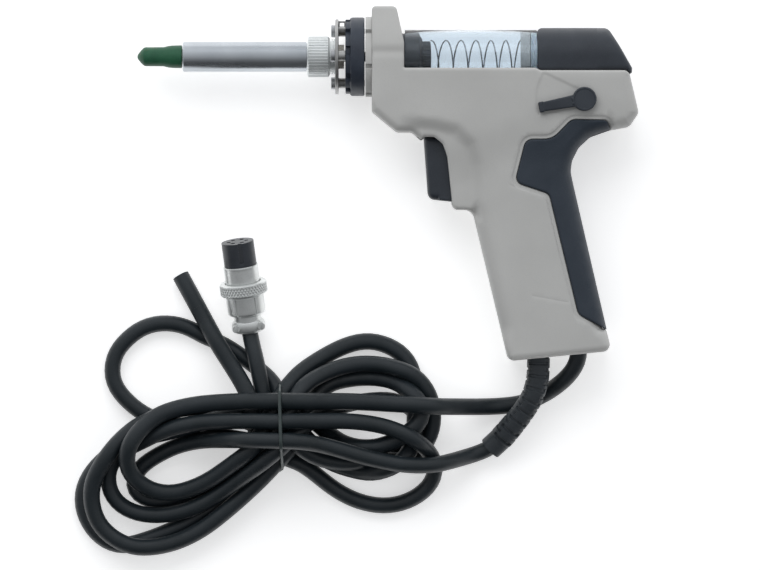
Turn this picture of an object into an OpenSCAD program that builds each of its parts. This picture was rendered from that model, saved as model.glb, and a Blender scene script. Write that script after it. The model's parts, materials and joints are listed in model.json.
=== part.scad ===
// Electric desoldering gun with its tied cord set, lying on its right side.
// +X runs from the nozzle to the rear of the gun, +Y to the top of the gun,
// +Z up from the surface that it lies on. All sizes are in millimetres.

/* [Housing] */
// Thickness of the housing over its two halves
housing_t = 34; // [33:0.5:36]
// Thickness of the handle
handle_t = 30; // [28:0.5:31]
// Wall of the moulded shells
wall = 2.4; // [2:0.1:3]
// Thickness of the rubber grip pads
pad_t = 1.6; // [1:0.1:1.8]
// Height of the barrel axis, measured up the gun from the origin
barrel_y = 50.8; // [50.6:0.1:51]

/* [Barrel] */
// Outside diameter of the polished heater sleeve
sleeve_d = 12; // [11.6:0.1:12.4]
// Length of the sleeve in front of the knurled nut
sleeve_l = 49.8; // [45:0.1:50]
// Outside diameter of the knurled nut
nut_d = 16.3; // [15.8:0.1:17]
// Diameter of the steel mounting disc
disc_d = 30; // [29:0.5:31]
// Diameter of the insulator ring
ring_d = 31.5; // [31:0.1:32]
// Pitch circle of the three flange screws
screw_pcd = 24; // [23.5:0.1:24.5]

/* [Glass tube] */
// Outside diameter of the glass tube
tube_d = 21.6; // [21.2:0.1:21.6]
// Wall of the glass tube
tube_wall = 0.8; // [0.7:0.1:1.2]
// Length of the glass tube
tube_l = 52.8; // [52:0.1:52.8]
// Turns of the spring in the tube
spring_turns = 6; // [5:1:7]
// Wire diameter of the spring in the tube
spring_wire = 0.6; // [0.5:0.05:0.8]

/* [Controls] */
// Width of the trigger across the gun
trigger_w = 16; // [14:0.5:16]
// Length of the release lever from hub to tip
lever_l = 17; // [16:0.1:18.5]
// Opening travel of the rear cap
cap_travel = 4; // [3:0.5:4]

/* [Cords] */
// Outside diameter of the power lead
lead_d = 6.5; // [6.2:0.1:7]
// Outside diameter of the vacuum hose
hose_d = 6.8; // [6.6:0.1:7]
// Bore of the vacuum hose
hose_bore = 4; // [3.5:0.5:4.5]
// Thickness of the tied hank
hank_t = 19; // [14:1:22]

/* [Plug] */
// Diameter of the knurled coupling ring
coupling_d = 19; // [18.5:0.1:19.2]
// Diameter of the black socket insert
insert_d = 13; // [12.6:0.1:13.2]
// Angle that the front of the plug is raised
plug_tilt = 12; // [10:0.5:13]

/* [Hidden] */
$fn = 64;

// Places shared by several pieces
mid_z = housing_t / 2;
gap = 0.3;                       // between pieces that move past each other
fit = 0.05;                      // radial play of a running fit
tip_x = -99.6;                   // front of the nozzle cap
sleeve_x = -81.5;                // front lip of the heater sleeve
nut_x = sleeve_x + sleeve_l;     // front of the knurled nut
nut_l = 9;
collar_x = nut_x + nut_l;        // flange behind the nut
disc_x = -20.5;
disc_t = 1.3;
ring_x = -16.4;
ring_l = 7.6;
plate_x = -8.4;
front_x = -5.9;                  // front face of the housing
tube_x = 7;                      // front end of the glass tube
tube_r = tube_d / 2;
tube_bore = tube_r - tube_wall;
seal_x = 57.4;                   // rear seal, in the rear end of the tube
cap_x = 60.1;                    // front edge of the rear cap
hub = [78.6, 33.4];              // axis of the release lever
cam_r = 6.5;                     // cam pin's distance from that axis
cam_rest = 108;                // its angle at rest
cam_pin = hub + cam_r * [cos(cam_rest), sin(cam_rest)];
lever_rest = 190.8;              // angle of the lever at rest
lever_sweep = 36;
pivot = [27, 20];                // axis of the trigger
pin_r = 1.5;
button = [30.9, 2];              // tip of the switch plunger
relief_exit = [60.8, -69.7];     // strain relief in the base of the handle
hose_exit = [76.9, -68];         // vacuum hose in the base of the handle

// Housing, as corners with their radii: [x, y, radius]
shell_corners = [
    [front_x, 70.6, 1.5], [front_x, 28.9, 1.5], [4, 20.7, 3], [10, 20.7, 3],
    [13.8, 17.4, 0.6], [15.4, 18.6, 1], [19, 18.5, 2], [22.4, 15.8, 3], [24.2, 10.6, 3],
    [26.4, -10.4, 2.5], [34.3, -10.4, 4], [48.8, -70.8, 2.5], [89.6, -66.8, 3],
    [74.4, -1, 8], [73.2, 4.6, 8], [73.8, 9, 6], [76.4, 14.2, 6], [81.3, 18.7, 6],
    [88.4, 21.2, 2], [97, 22.8, 2], [100.4, 28, 3], [96.4, 44.9, 3],
    [61.2, 44.9, 0.6], [59.2, 45.9, 0.6], [7, 45.9, 0.5], [7, 56, 3],
    [5.7, 62, 3], [3.9, 70.6, 2],
];
// Upper part of the gun, which is thicker than the handle
body_zone = [
    [-9, 80], [-9, 15], [24, 9], [50, 19.5], [71, 19.5], [75.5, 27], [105, 27], [105, 80],
];
// Space inside the shells, below the cradle of the glass tube
cavity_zone = [
    [-9, 37.2], [68.5, 37.2], [68.5, 42.4], [105, 42.4], [105, -80], [-9, -80],
];
// Rubber grip, which wraps round the back of the handle
pad_corners = [
    [73.7, 25.3, 4], [87.7, 25, 2], [90, 19, 0.5], [84, 16.5, 1], [79, 12, 1], [76.5, 7, 1],
    [76, 3, 1], [91, -60, 0.5], [76.4, -52.2, 4], [64.8, -4.2, 3.5], [51.2, 0.4, 3],
    [55.5, 17.4, 3.5], [66, 17.4, 8],
];
screw_spots = [[5, 29], [52, 30], [92, 32], [43.5, -20], [68.8, -57.5]];
screw_r = 1.3;
screw_head_r = 2.6;

// Routes of the cords: points on their centrelines
relief_route = [
    [60.8, -65, 17], [60.8, -71, 17], [60.4, -78, 16.4], [58.6, -84.6, 15],
    [55.2, -90.6, 12.6], [50.8, -96.4, 9.8], [46.4, -101.6, 7.2], [41.8, -106, 5.4],
];
lead_gun_route = [
    [41.8, -106, 5.4], [36.4, -108.2, 4.2], [30.6, -109.9, 4.2],
    [25.4, -111.2, 6], [20.6, -112.3, 8.4],
];
hose_gun_route = [
    [76.9, -64, 17], [76.9, -70, 16.8], [74.4, -75, 14.6], [69.8, -79.8, 11],
    [63.6, -84.2, 6.6], [55, -88, 3.7], [44, -89.3, 3.5], [34, -89.4, 4],
    [26, -89.2, 6.4], [18.6, -89, 9.4],
];
hose_tail_route = [[-67.4, -64.6, 10.6], [-72.3, -55.8, 7], [-75.8, -49.4, 6]];
hose_cut = [-82.8, -36.6, 4];
plug_base = [-55, -59.3, 6.1];
plug_yaw = 7.4;
plug_axis = [-sin(plug_yaw) * cos(plug_tilt), cos(plug_yaw) * cos(plug_tilt), sin(plug_tilt)];
lead_plug_route = [
    [-51.4, -73.6, 4], [-53.2, -66.6, 4.2], plug_base, plug_base + 12 * plug_axis,
];
inner_hose_route = [
    [76.9, -63.9, 17], [76.9, -58, 17], [73.4, -44, 17], [67, -22, 17], [62.4, 2, 17],
    [64.6, 18, 17], [72, 25.4, 17], [81.6, 28, 17], [82, 30, 17],
];
inner_lead_route = [
    [60.8, -64.9, 17], [60.6, -58, 17], [57.6, -42, 17], [53, -22, 17], [50.4, -8, 17],
    [49.8, 4, 17],
];
hank_corners = [
    [-42, -78.4, 6], [-60, -65, 8], [-74, -56, 10], [-100, -50, 12],
    [-118, -66, 14], [-111, -88, 8], [-127, -112, 12], [-126, -152, 18],
    [-84, -149, 12], [-50, -124, 6], [-42, -114, 4], [-28, -124, 8],
    [-4, -136, 10], [26, -131, 14], [21.5, -100, 8], [20.6, -78, 10],
    [4, -56, 10], [-24, -62, 10],
];
tie_x = -42.2;
tie_y = [-114.6, -78];

// Plug, as distances along its axis from the cable end
saddle_l = 5.6;
neck_l = 1.5;
shell_l = 8.4;
shell_s = saddle_l + neck_l;
ring_s = shell_s + shell_l + gap;
coupling_w = 5;
insert_s = 26.4;
plug_l = 37.4;
sleeve_r = 7;
contact_r = 0.9;
contact_angles = [0, 60, 120, 180, 240, 300];
contact_ring = 3.6;
clamp_hw = 6.75;                 // half the width of the cable clamp

function unit(v) = v / norm(v);

// Arc that rounds corner b between its neighbours a and c
function corner_arc(a, b, c, r, n = 6) =
    let (
        u = unit(a - b),
        v = unit(c - b),
        half = acos(u * v) / 2,
        centre = b + unit(u + v) * r / sin(half),
        p = b + u * r / tan(half) - centre,
        q = b + v * r / tan(half) - centre,
        from = atan2(p.y, p.x),
        turn = atan2(p.x * q.y - p.y * q.x, p * q)
    )
    [for (i = [0:n]) centre + r * [cos(from + turn * i / n), sin(from + turn * i / n)]];

// Outline with round corners, from a list of [x, y, radius]
function rounded(corners) =
    let (n = len(corners))
    [for (i = [0:n - 1], p = corner_arc(
        [corners[(i + n - 1) % n].x, corners[(i + n - 1) % n].y],
        [corners[i].x, corners[i].y],
        [corners[(i + 1) % n].x, corners[(i + 1) % n].y],
        corners[i].z)) p];

// Direction of a route at its point i
function heading(route, i) =
    unit(route[min(i + 1, len(route) - 1)] - route[max(i - 1, 0)]);

// Points of one ring of a tube, square to the direction d
function ring_points(centre, d, r, sides) =
    let (u = unit(cross(d, [0.01, 0.02, 1])), v = cross(u, d))
    [for (k = [0:sides - 1]) centre + r * (cos(360 * k / sides) * u + sin(360 * k / sides) * v)];

// Tube swept along a route, with a radius for each of its points
module swept(route, radii, sides = 10) {
    n = len(route);
    points = [for (i = [0:n - 1], p = ring_points(route[i], heading(route, i), radii[i], sides)) p];
    walls = [for (i = [0:n - 2], k = [0:sides - 1]) [
        i * sides + k, i * sides + (k + 1) % sides,
        (i + 1) * sides + (k + 1) % sides, (i + 1) * sides + k,
    ]];
    first = [[for (k = [sides - 1:-1:0]) k]];
    last = [[for (k = [0:sides - 1]) (n - 1) * sides + k]];
    polyhedron(points, concat(first, walls, last));
}

module cord(route, d) {
    swept(route, [for (p = route) d / 2]);
}

// Children stand on the barrel axis at x, with their own +Z along +X
module on_barrel(x) {
    translate([x, barrel_y, mid_z]) rotate([0, 90, 0]) children();
}

module pipe(r, bore, l) {
    difference() {
        cylinder(r = r, h = l);
        translate([0, 0, -1]) cylinder(r = bore, h = l + 2);
    }
}

// Straight-ribbed knurl: a cylinder with n small teeth
module knurl(r, depth, n, l) {
    linear_extrude(l) polygon([
        for (i = [0:2 * n - 1]) (i % 2 == 0 ? r : r - depth) * [cos(180 * i / n), sin(180 * i / n)]
    ]);
}

// Child at one of the three flange screws, on the barrel axis at x
module at_flange_screw(i, x) {
    on_barrel(x) rotate([0, 0, 180 + 120 * i]) translate([screw_pcd / 2, 0, 0]) children();
}

// ---- Barrel ----

module tip_cap() {
    color("darkgreen") on_barrel(tip_x) rotate_extrude() polygon([
        [0, 0], [1.2, 0], [2.9, 1.2], [3.6, 2.4], [3.8, 3.2], [3.85, 10.5],
        [4.5, 14], [4.6, 17.8], [3.3, 17.8], [3.3, 10.6], [1.9, 3], [0, 3],
    ]);
}

module nozzle() {
    seat = sleeve_x + 1.2;
    color("silver") on_barrel(tip_x + 3.4) difference() {
        rotate_extrude() polygon([
            [0, 0], [1.4, 0], [3, 8], [3, seat - tip_x - 3.4],
            [4.7, seat - tip_x - 3.4], [4.7, 26], [0, 26],
        ]);
        translate([0, 0, -1]) cylinder(r = 0.7, h = 30);
    }
}

module heater_sleeve() {
    r = sleeve_d / 2;
    neck = 0.6;
    end = sleeve_l + 4.2;
    color("lightgray") on_barrel(sleeve_x) rotate_extrude() polygon([
        [4.1, 0], [r - 0.5, 0], [r, 0.5], [r, sleeve_l - gap], [r - neck, sleeve_l - gap],
        [r - neck, end - 1], [6.8, end - 1], [6.8, end], [r - neck - 0.4, end],
        [r - neck - 0.4, sleeve_l - 1], [r - 0.6, sleeve_l - 1], [r - 0.6, 0.8], [4.1, 0.8],
    ]);
}

module heater_core() {
    from = -69.8;
    color("ivory") on_barrel(from) pipe(4.8, 2.1, -17 - from);
}

module suction_pipe() {
    color("silver") on_barrel(-69.8) pipe(2, 1.4, 82);
}

module knurled_nut() {
    seat = 3.2;
    color("silver") on_barrel(nut_x) difference() {
        knurl(nut_d / 2, 0.45, 36, nut_l);
        translate([0, 0, -1]) cylinder(r = sleeve_d / 2 - 0.5, h = nut_l + 2);
        translate([0, 0, seat]) cylinder(r = 7, h = nut_l);
    }
}

module heater_collar() {
    spigot = 4.2;
    color("silver") on_barrel(collar_x + gap - spigot) difference() {
        union() {
            cylinder(r = 6.9, h = spigot);
            translate([0, 0, spigot]) cylinder(r = 7, h = disc_x - collar_x - gap);
        }
        translate([0, 0, -1]) cylinder(r = 5, h = 12);
    }
}

module mount_disc() {
    color("silver") difference() {
        on_barrel(disc_x) pipe(disc_d / 2, 5.4, disc_t);
        for (i = [0:2]) at_flange_screw(i, disc_x - 1) cylinder(r = 1.35, h = disc_t + 2);
    }
}

module flange_screw(i) {
    head = 1.7;
    color("gainsboro") at_flange_screw(i, disc_x - head) difference() {
        union() {
            cylinder(r = 2.5, h = head);
            cylinder(r = 1.25, h = plate_x - disc_x + head - gap);
        }
        translate([-0.35, -1.6, -1]) cube([0.7, 3.2, 1.8]);
        translate([-1.6, -0.35, -1]) cube([3.2, 0.7, 1.8]);
    }
}

module standoff(i) {
    color("silver") at_flange_screw(i, disc_x + disc_t) pipe(2.1, 1.35, ring_x - disc_x - disc_t);
}

module insulator_ring() {
    r = ring_d / 2;
    lip = 1.8;
    color("#22262b") difference() {
        on_barrel(ring_x) rotate_extrude() polygon([
            [6.2, 0], [14.85, 0], [14.85, lip], [r - 0.7, lip], [r, lip + 0.7],
            [r, ring_l - 0.3], [r - 0.3, ring_l], [6.2, ring_l],
        ]);
        for (i = [0:2]) at_flange_screw(i, ring_x - 1) cylinder(r = 1.35, h = ring_l + 2);
        for (a = [35, 145, 215, 325])
            on_barrel(ring_x - 1) rotate([0, 0, a]) translate([13.6, -1.5, 0])
                cube([3, 3, lip + 1]);
    }
}

module earth_clip() {
    color("silver") on_barrel(disc_x + disc_t) rotate([0, 0, 90]) translate([12, 0, 0])
        rotate([90, 0, 0]) linear_extrude(4, center = true) difference() {
            square([2.2, ring_x - disc_x - disc_t]);
            translate([-1, 0.5]) square([2.6, 1.8]);
        }
}

module front_plate() {
    color("#cdc9bf") difference() {
        on_barrel(plate_x) pipe(16, 9.7, front_x - plate_x);
        for (a = [20, 80, 143, 196, 250, 305])
            on_barrel(plate_x - 1) rotate([0, 0, a]) translate([14.4, -1, 0])
                cube([3, 2, 5]);
    }
}

// ---- Housing ----

// Plate with stepped edges, standing on z = 0
module soft_plate(h, edge) {
    steps = [[0, 1], [0.16, 0.55], [0.45, 0.2], [1, 0]];
    for (s = steps) linear_extrude(h - edge * s.y) offset(delta = -edge * s.x) children();
}

module shell_solid() {
    soft_plate(handle_t / 2, 4) polygon(rounded(shell_corners));
    soft_plate(housing_t / 2, 2.5) intersection() {
        polygon(rounded(shell_corners));
        polygon(body_zone);
    }
}

// The handle without the skin that the grip pads take
module handle_core() {
    soft_plate(handle_t / 2 - pad_t, 4) offset(delta = -pad_t) polygon(rounded(shell_corners));
}

module shell_cavity() {
    translate([0, 0, -1]) linear_extrude(handle_t / 2 - wall - pad_t + 1) intersection() {
        offset(delta = -wall - pad_t) polygon(rounded(shell_corners));
        polygon(cavity_zone);
    }
    translate([0, 0, -1]) linear_extrude(housing_t / 2 - wall + 1) intersection() {
        offset(delta = -wall) polygon(rounded(shell_corners));
        polygon(cavity_zone);
        offset(delta = -wall) polygon(body_zone);
    }
}

// Grip pad on one half: a skin over the handle that wraps round its back
module pad_solid(h) {
    difference() {
        linear_extrude(h) polygon(rounded(pad_corners));
        translate([0, 0, -0.01]) handle_core();
    }
}

module bosses() {
    for (p = screw_spots)
        translate(p) cylinder(r = 3.2, h = (p.y > 20 ? housing_t : handle_t) / 2 - 1);
    translate([pivot.x, pivot.y, trigger_w / 2 + 1]) cylinder(r = 3, h = 6.5);
}

module half_shell() {
    difference() {
        union() {
            difference() {
                shell_solid();
                shell_cavity();
            }
            bosses();
        }
        translate([0, 0, -0.01]) pad_solid(handle_t / 2 + 4);
        translate([0, 0, -mid_z]) {
            on_barrel(tube_x) cylinder(r = tube_r + gap, h = 60.4);
            on_barrel(front_x - 1) cylinder(r = 9.7, h = 20);
            translate([69.5, 36, mid_z - 4.3]) cube([15.3 + cap_travel, 12, 8.6]);
            translate([12, -8.8, mid_z - trigger_w / 2 - 0.4])
                cube([22.6, 28, trigger_w + 0.8]);
            translate([23, 12, mid_z - trigger_w / 2 - 0.4]) cube([9, 13, trigger_w + 0.8]);
        }
        translate([pivot.x, pivot.y, -1]) cylinder(r = pin_r + 0.02, h = 12.6);
        translate([relief_exit.x, relief_exit.y - 6, 0]) rotate([-90, 0, 0]) {
            cylinder(r = 4.7, h = 12);
            translate([0, 0, 7.4]) cylinder(r = 6.6, h = 3.4);
        }
        translate([hose_exit.x, hose_exit.y - 6, 0]) rotate([-90, 0, 0])
            cylinder(r = hose_d / 2 + 0.1, h = 14);
        for (p = screw_spots) translate([p.x, p.y, -1]) cylinder(r = screw_r + 0.02, h = 8.6);
    }
}

// Shallow fan that the release lever sweeps over
module lever_fan(r, h) {
    fan_side = 3;
    linear_extrude(h) {
        circle(r = 6.2);
        for (a = [0, lever_sweep])
            rotate([0, 0, lever_rest - a]) translate([0, -fan_side]) square([r - 1, 2 * fan_side]);
        polygon(concat([[0, 0]], [
            for (i = [0:12]) r * [cos(lever_rest - lever_sweep * i / 12), sin(lever_rest - lever_sweep * i / 12)]
        ]));
    }
}

module housing_left() {
    color("#cdc9bf") translate([0, 0, mid_z]) difference() {
        half_shell();
        translate([hub.x, hub.y, mid_z - 0.9]) lever_fan(lever_l + 2.4, 2);
        translate([hub.x, hub.y, mid_z - 6]) cylinder(r = 3.5, h = 8);
    }
}

module housing_right() {
    color("#cdc9bf") translate([0, 0, mid_z]) mirror([0, 0, 1]) difference() {
        half_shell();
        for (p = screw_spots) translate([p.x, p.y, -1]) {
            cylinder(r = screw_r + 0.02, h = 30);
            translate([0, 0, 11]) cylinder(r = screw_head_r + 0.3, h = 20);
        }
    }
}

module grip_pad_left() {
    color("#22262b") translate([0, 0, mid_z]) intersection() {
        pad_solid(handle_t / 2);
        shell_solid();
    }
}

module grip_pad_right() {
    color("#22262b") translate([0, 0, mid_z]) mirror([0, 0, 1]) intersection() {
        pad_solid(handle_t / 2);
        shell_solid();
    }
}

module housing_screw(i) {
    head = mid_z - 10;
    color("dimgray") translate([screw_spots[i].x, screw_spots[i].y, head - 2.4]) difference() {
        union() {
            cylinder(r = screw_head_r, h = 2.4);
            cylinder(r = screw_r, h = mid_z + 7.2 - head + 2.4);
        }
        translate([-0.4, -1.8, -1]) cube([0.8, 3.6, 2]);
        translate([-1.8, -0.4, -1]) cube([3.6, 0.8, 2]);
    }
}

// ---- Glass tube ----

module front_holder() {
    color("#22262b") on_barrel(front_x) difference() {
        rotate_extrude() polygon([
            [0, 0], [9.4, 0], [9.4, 12.5], [tube_bore - 0.1, 13.4], [tube_bore - 0.1, 19.1],
            [8, 19.1], [8, 20.9], [5.5, 20.9], [5.5, 24], [0, 24],
        ]);
        translate([0, 0, -1]) cylinder(r = 2.1, h = 30);
    }
}

module glass_tube() {
    color("lightcyan", 0.4) on_barrel(tube_x + gap) pipe(tube_r, tube_bore, tube_l);
}

module tube_spring() {
    from = 15.4;
    to = 53;
    r = 6.1;
    steps = 20 * spring_turns;
    route = [for (i = [0:steps]) [
        from + (to - from) * i / steps,
        barrel_y + r * cos(18 * i),
        mid_z + r * sin(18 * i),
    ]];
    color("silver") swept(route, [for (p = route) spring_wire / 2], 6);
}

module rear_filter() {
    color("white") on_barrel(seal_x - 4) pipe(tube_bore - 0.1, 1, 3.8);
}

module rear_seal() {
    flange = tube_x + gap + tube_l + 0.1 - seal_x;
    color("gray", 0.7) on_barrel(seal_x) difference() {
        union() {
            cylinder(r = tube_bore - 0.15, h = flange);
            translate([0, 0, flange]) cylinder(r = tube_r - 0.2, h = 1.3);
        }
        translate([0, 0, -1]) cylinder(r = 2, h = 8);
    }
}

module rear_cap() {
    r = 11.6;
    bottom = 45.1;
    recess = 1.6;
    color("#22262b") difference() {
        union() {
            intersection() {
                on_barrel(cap_x) linear_extrude(40) {
                    circle(r = r);
                    translate([-r, bottom - barrel_y]) square([2 * r, barrel_y - bottom]);
                }
                translate([0, 0, mid_z - r]) linear_extrude(2 * r) polygon(rounded([
                    [cap_x, bottom, 1.5], [97.3, bottom, 1], [97.9, 46, 0.8],
                    [92.9, 54.9, 10], [88.4, 62.6, 3], [cap_x, 62.6, 2.2],
                ]));
            }
            translate([70, 36.4, mid_z - 4]) cube([14, 12, 8]);
        }
        on_barrel(cap_x - 1) cylinder(r = tube_r, h = recess + 1);
        on_barrel(cap_x) cylinder(r = 2, h = 22);
        translate([82, 32, mid_z]) rotate([-90, 0, 0]) cylinder(r = 1.2, h = 18);
        translate([cam_pin.x, cam_pin.y, mid_z - 5]) {
            cylinder(r = pin_r + fit, h = 10);
            translate([0, 0.7, 0]) cylinder(r = pin_r + fit, h = 10);
            translate([-pin_r - fit, 0, 0]) cube([2 * (pin_r + fit), 0.7, 10]);
        }
    }
}

// ---- Controls ----

module release_lever() {
    base = housing_t - 0.6;
    color("#22262b") translate([hub.x, hub.y, base]) difference() {
        rotate([0, 0, lever_rest]) {
            cylinder(r = 5, h = 3.6);
            linear_extrude(3) polygon(rounded([
                [0, -2.6, 0.4], [lever_l + 1.4, -1.5, 1], [lever_l + 1.4, 1.5, 1], [0, 2.6, 0.4],
            ]));
        }
        translate([0, 0, -1]) cylinder(r = 2, h = 3);
    }
}

module lever_cam() {
    color("dimgray") {
        translate([hub.x, hub.y, mid_z + 4.6]) {
            cylinder(r = 3.5 - fit, h = housing_t - 0.6 - mid_z - 4.6);
            cylinder(r = 8.4, h = 2.4);
            cylinder(r = 2, h = housing_t - 0.6 + 1.9 - mid_z - 4.6);
        }
        translate([cam_pin.x, cam_pin.y, mid_z - 3.6]) cylinder(r = pin_r, h = 9);
    }
}

module trigger() {
    w = trigger_w / 2;
    color("#22262b") translate([0, 0, mid_z]) difference() {
        union() {
            translate([0, 0, -w]) linear_extrude(trigger_w) polygon(rounded([
                [14.9, 17.3, 1], [16.6, -6.2, 3], [30.5, -7.6, 1], [30.5, 16, 3], [24, 17.2, 2],
                [18.6, 18.3, 1],
            ]));
            translate([pivot.x, pivot.y, -5]) {
                cylinder(r = 3.4, h = 10);
                translate([-3.4, -8, 0]) cube([6.8, 8, 10]);
            }
        }
        translate([pivot.x, pivot.y, -w - 1]) cylinder(r = pin_r + fit, h = trigger_w + 2);
        for (side = [0, 1]) mirror([0, 0, side]) translate([pivot.x, pivot.y, 5])
            cylinder(r = 5.2, h = w);
    }
}

module trigger_pin() {
    color("silver") translate([pivot.x, pivot.y, mid_z - 11.4]) cylinder(r = pin_r, h = 22.8);
}

// Torsion spring beside the trigger's hub, with one leg behind the trigger
module trigger_spring() {
    wire = 0.4;
    color("silver") translate([pivot.x, pivot.y, mid_z + 5.3]) {
        for (i = [0:2]) translate([0, 0, wire + 0.7 * i]) rotate_extrude(angle = 360)
            translate([2.6, 0]) circle(r = wire, $fn = 16);
        translate([0, 2.6, wire]) rotate([0, 90, 0]) cylinder(r = wire, h = 9, $fn = 16);
    }
}

module microswitch() {
    color("#30343a") difference() {
        translate([34.8, -5, mid_z - 4]) cube([12, 13.6, 8]);
        translate([button.x, button.y, mid_z]) rotate([0, 90, 0])
            cylinder(r = pin_r + fit, h = 9.4);
    }
}

module switch_plunger() {
    color("firebrick") translate([button.x, button.y, mid_z]) rotate([0, 90, 0])
        cylinder(r = pin_r, h = 6.6);
}

// ---- Cords ----

module inner_hose() {
    color("#1c1f22") cord(inner_hose_route, 6);
}

module inner_lead() {
    color("#1c1f22") cord(inner_lead_route, 5);
}

// Strain relief: a collar inside the handle, a neck, then one rib for each step
// of the route, with a groove before it
module strain_relief() {
    neck = 4.2;
    rib = 4.8;
    start = relief_route[0];
    steps = [for (i = [2:len(relief_route) - 2], f = [0, 0.28, 0.34, 0.97]) [i, f]];
    points = concat(
        [start, start - [0, 2.7, 0], start - [0, 2.8, 0]],
        [for (s = steps) (1 - s[1]) * relief_route[s[0]] + s[1] * relief_route[s[0] + 1]],
        [relief_route[len(relief_route) - 1]]
    );
    radii = concat([6.2, 6.2, neck], [for (s = steps) s[1] < 0.3 ? neck : rib], [neck]);
    color("#1a1c1f") swept(points, radii, 12);
}

module power_lead_gun() {
    color("#1c1f22") cord(lead_gun_route, lead_d);
}

module power_lead_plug() {
    color("#1c1f22") cord(lead_plug_route, lead_d);
}

module vacuum_hose_gun() {
    color("#1c1f22") cord(hose_gun_route, hose_d);
}

module vacuum_hose_tail() {
    color("#1c1f22") cord(hose_tail_route, hose_d);
}

module hose_end() {
    start = hose_tail_route[len(hose_tail_route) - 1];
    run = hose_cut - start;
    color("#1c1f22") translate(start)
        rotate([0, acos(run.z / norm(run)), atan2(run.y, run.x)])
            pipe(hose_d / 2, hose_bore / 2, norm(run));
}

module cord_hank() {
    color("#1c1f22") linear_extrude(hank_t) polygon(rounded(hank_corners));
}

module hank_tie() {
    t = 0.8;
    color("#2a3330") translate([tie_x - 0.8, tie_y[0], 0]) difference() {
        cube([1.6, tie_y[1] - tie_y[0], hank_t + t]);
        translate([-1, t, t]) cube([4, tie_y[1] - tie_y[0] - 2 * t, hank_t - t]);
    }
}

// ---- Plug ----

// Children stand at the plug's cable end, with their own +Z to its front
module on_plug() {
    translate(plug_base) rotate([plug_tilt - 90, 0, plug_yaw]) children();
}

module plug_insert() {
    seat = 6;
    lip = 1.2;
    color("#1b1d20") on_plug() translate([0, 0, insert_s - seat]) difference() {
        union() {
            cylinder(r = insert_d / 2 - 0.5, h = seat + lip + 0.2);
            translate([0, 0, seat + lip + 0.1]) cylinder(r = insert_d / 2, h = plug_l - insert_s - lip - 0.1);
        }
        for (a = contact_angles) rotate([0, 0, a]) translate([contact_ring, 0, 8])
            cylinder(r = contact_r + 0.02, h = 12);
        translate([0, -insert_d / 2 - 0.1, plug_l - insert_s - 2]) cube([1.6, 1.4, 12]);
    }
}

module plug_contacts() {
    color("gold") on_plug() for (a = contact_angles)
        rotate([0, 0, a]) translate([contact_ring, 0, insert_s + 2.2]) difference() {
            cylinder(r = contact_r, h = plug_l - insert_s - 3);
            translate([0, 0, 1]) cylinder(r = 0.6, h = 12);
        }
}

module plug_sleeve() {
    color("silver") on_plug() translate([0, 0, shell_s + shell_l - 4]) {
        pipe(sleeve_r, insert_d / 2 - 0.4, insert_s + 1.2 - shell_s - shell_l + 4);
    }
}

module plug_shell() {
    color("silver") on_plug() difference() {
        union() {
            translate([0, 0, saddle_l]) cylinder(r = 5.4, h = neck_l + 1);
            translate([0, 0, shell_s]) cylinder(r = 7.6, h = shell_l);
        }
        translate([0, 0, saddle_l - 1]) cylinder(r = lead_d / 2 + 0.1, h = 20);
        translate([0, 0, shell_s + 2]) cylinder(r = sleeve_r, h = shell_l);
        for (side = [-1, 1]) translate([side * 8.6 - 1.5, -3, shell_s - 1]) cube([3, 6, 6]);
    }
}

module coupling_ring() {
    groove = 1;
    color("silver") on_plug() translate([0, 0, ring_s]) difference() {
        knurl(coupling_d / 2, 0.35, 44, coupling_w);
        translate([0, 0, -1]) cylinder(r = sleeve_r + 0.3, h = coupling_w + 2);
        translate([0, 0, (coupling_w - groove) / 2]) cylinder(r = sleeve_r + 1, h = groove);
    }
}

module ring_clip() {
    t = 0.8;
    color("silver") on_plug() translate([0, 0, ring_s + (coupling_w - t) / 2])
        pipe(sleeve_r + 0.95, sleeve_r + 0.08, t);
}

module cable_clamp() {
    h = 5.2;
    color("silver") on_plug() difference() {
        linear_extrude(saddle_l) polygon(rounded([
            [-clamp_hw, -h, 2], [clamp_hw, -h, 2], [clamp_hw, h, 2], [-clamp_hw, h, 2],
        ]));
        translate([0, 0, -1]) cylinder(r = lead_d / 2 + 0.02, h = saddle_l + 2);
        for (side = [-1, 1]) translate([side * 5, -h - 1, saddle_l / 2]) rotate([-90, 0, 0]) {
            cylinder(r = 0.92, h = 2 * h + 2);
            translate([0, 0, -1]) cylinder(r = 1.62, h = 3.2);
        }
    }
}

module clamp_screw(side) {
    h = 5.2;
    color("gainsboro") on_plug() translate([side * 5, -h - 0.1, saddle_l / 2])
        rotate([-90, 0, 0]) difference() {
            union() {
                cylinder(r = 1.6, h = 1.3);
                cylinder(r = 0.9, h = 2 * h - 0.6);
            }
            translate([-0.3, -2, -1]) cube([0.6, 4, 1.5]);
        }
}

tip_cap();
nozzle();
heater_sleeve();
heater_core();
suction_pipe();
knurled_nut();
heater_collar();
mount_disc();
flange_screw(0);  // flange_screw_1
flange_screw(1);  // flange_screw_2
flange_screw(2);  // flange_screw_3
standoff(0);  // standoff_1
standoff(1);  // standoff_2
standoff(2);  // standoff_3
insulator_ring();
earth_clip();
front_plate();
housing_left();
housing_right();
grip_pad_left();
grip_pad_right();
housing_screw(0);  // housing_screw_1
housing_screw(1);  // housing_screw_2
housing_screw(2);  // housing_screw_3
housing_screw(3);  // housing_screw_4
housing_screw(4);  // housing_screw_5
front_holder();
glass_tube();
tube_spring();
rear_filter();
rear_seal();
rear_cap();
release_lever();
lever_cam();
trigger();
trigger_pin();
trigger_spring();
microswitch();
switch_plunger();
inner_hose();
inner_lead();
strain_relief();
power_lead_gun();
power_lead_plug();
vacuum_hose_gun();
vacuum_hose_tail();
hose_end();
cord_hank();
hank_tie();
plug_insert();
plug_contacts();
plug_sleeve();
plug_shell();
coupling_ring();
ring_clip();
cable_clamp();
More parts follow.
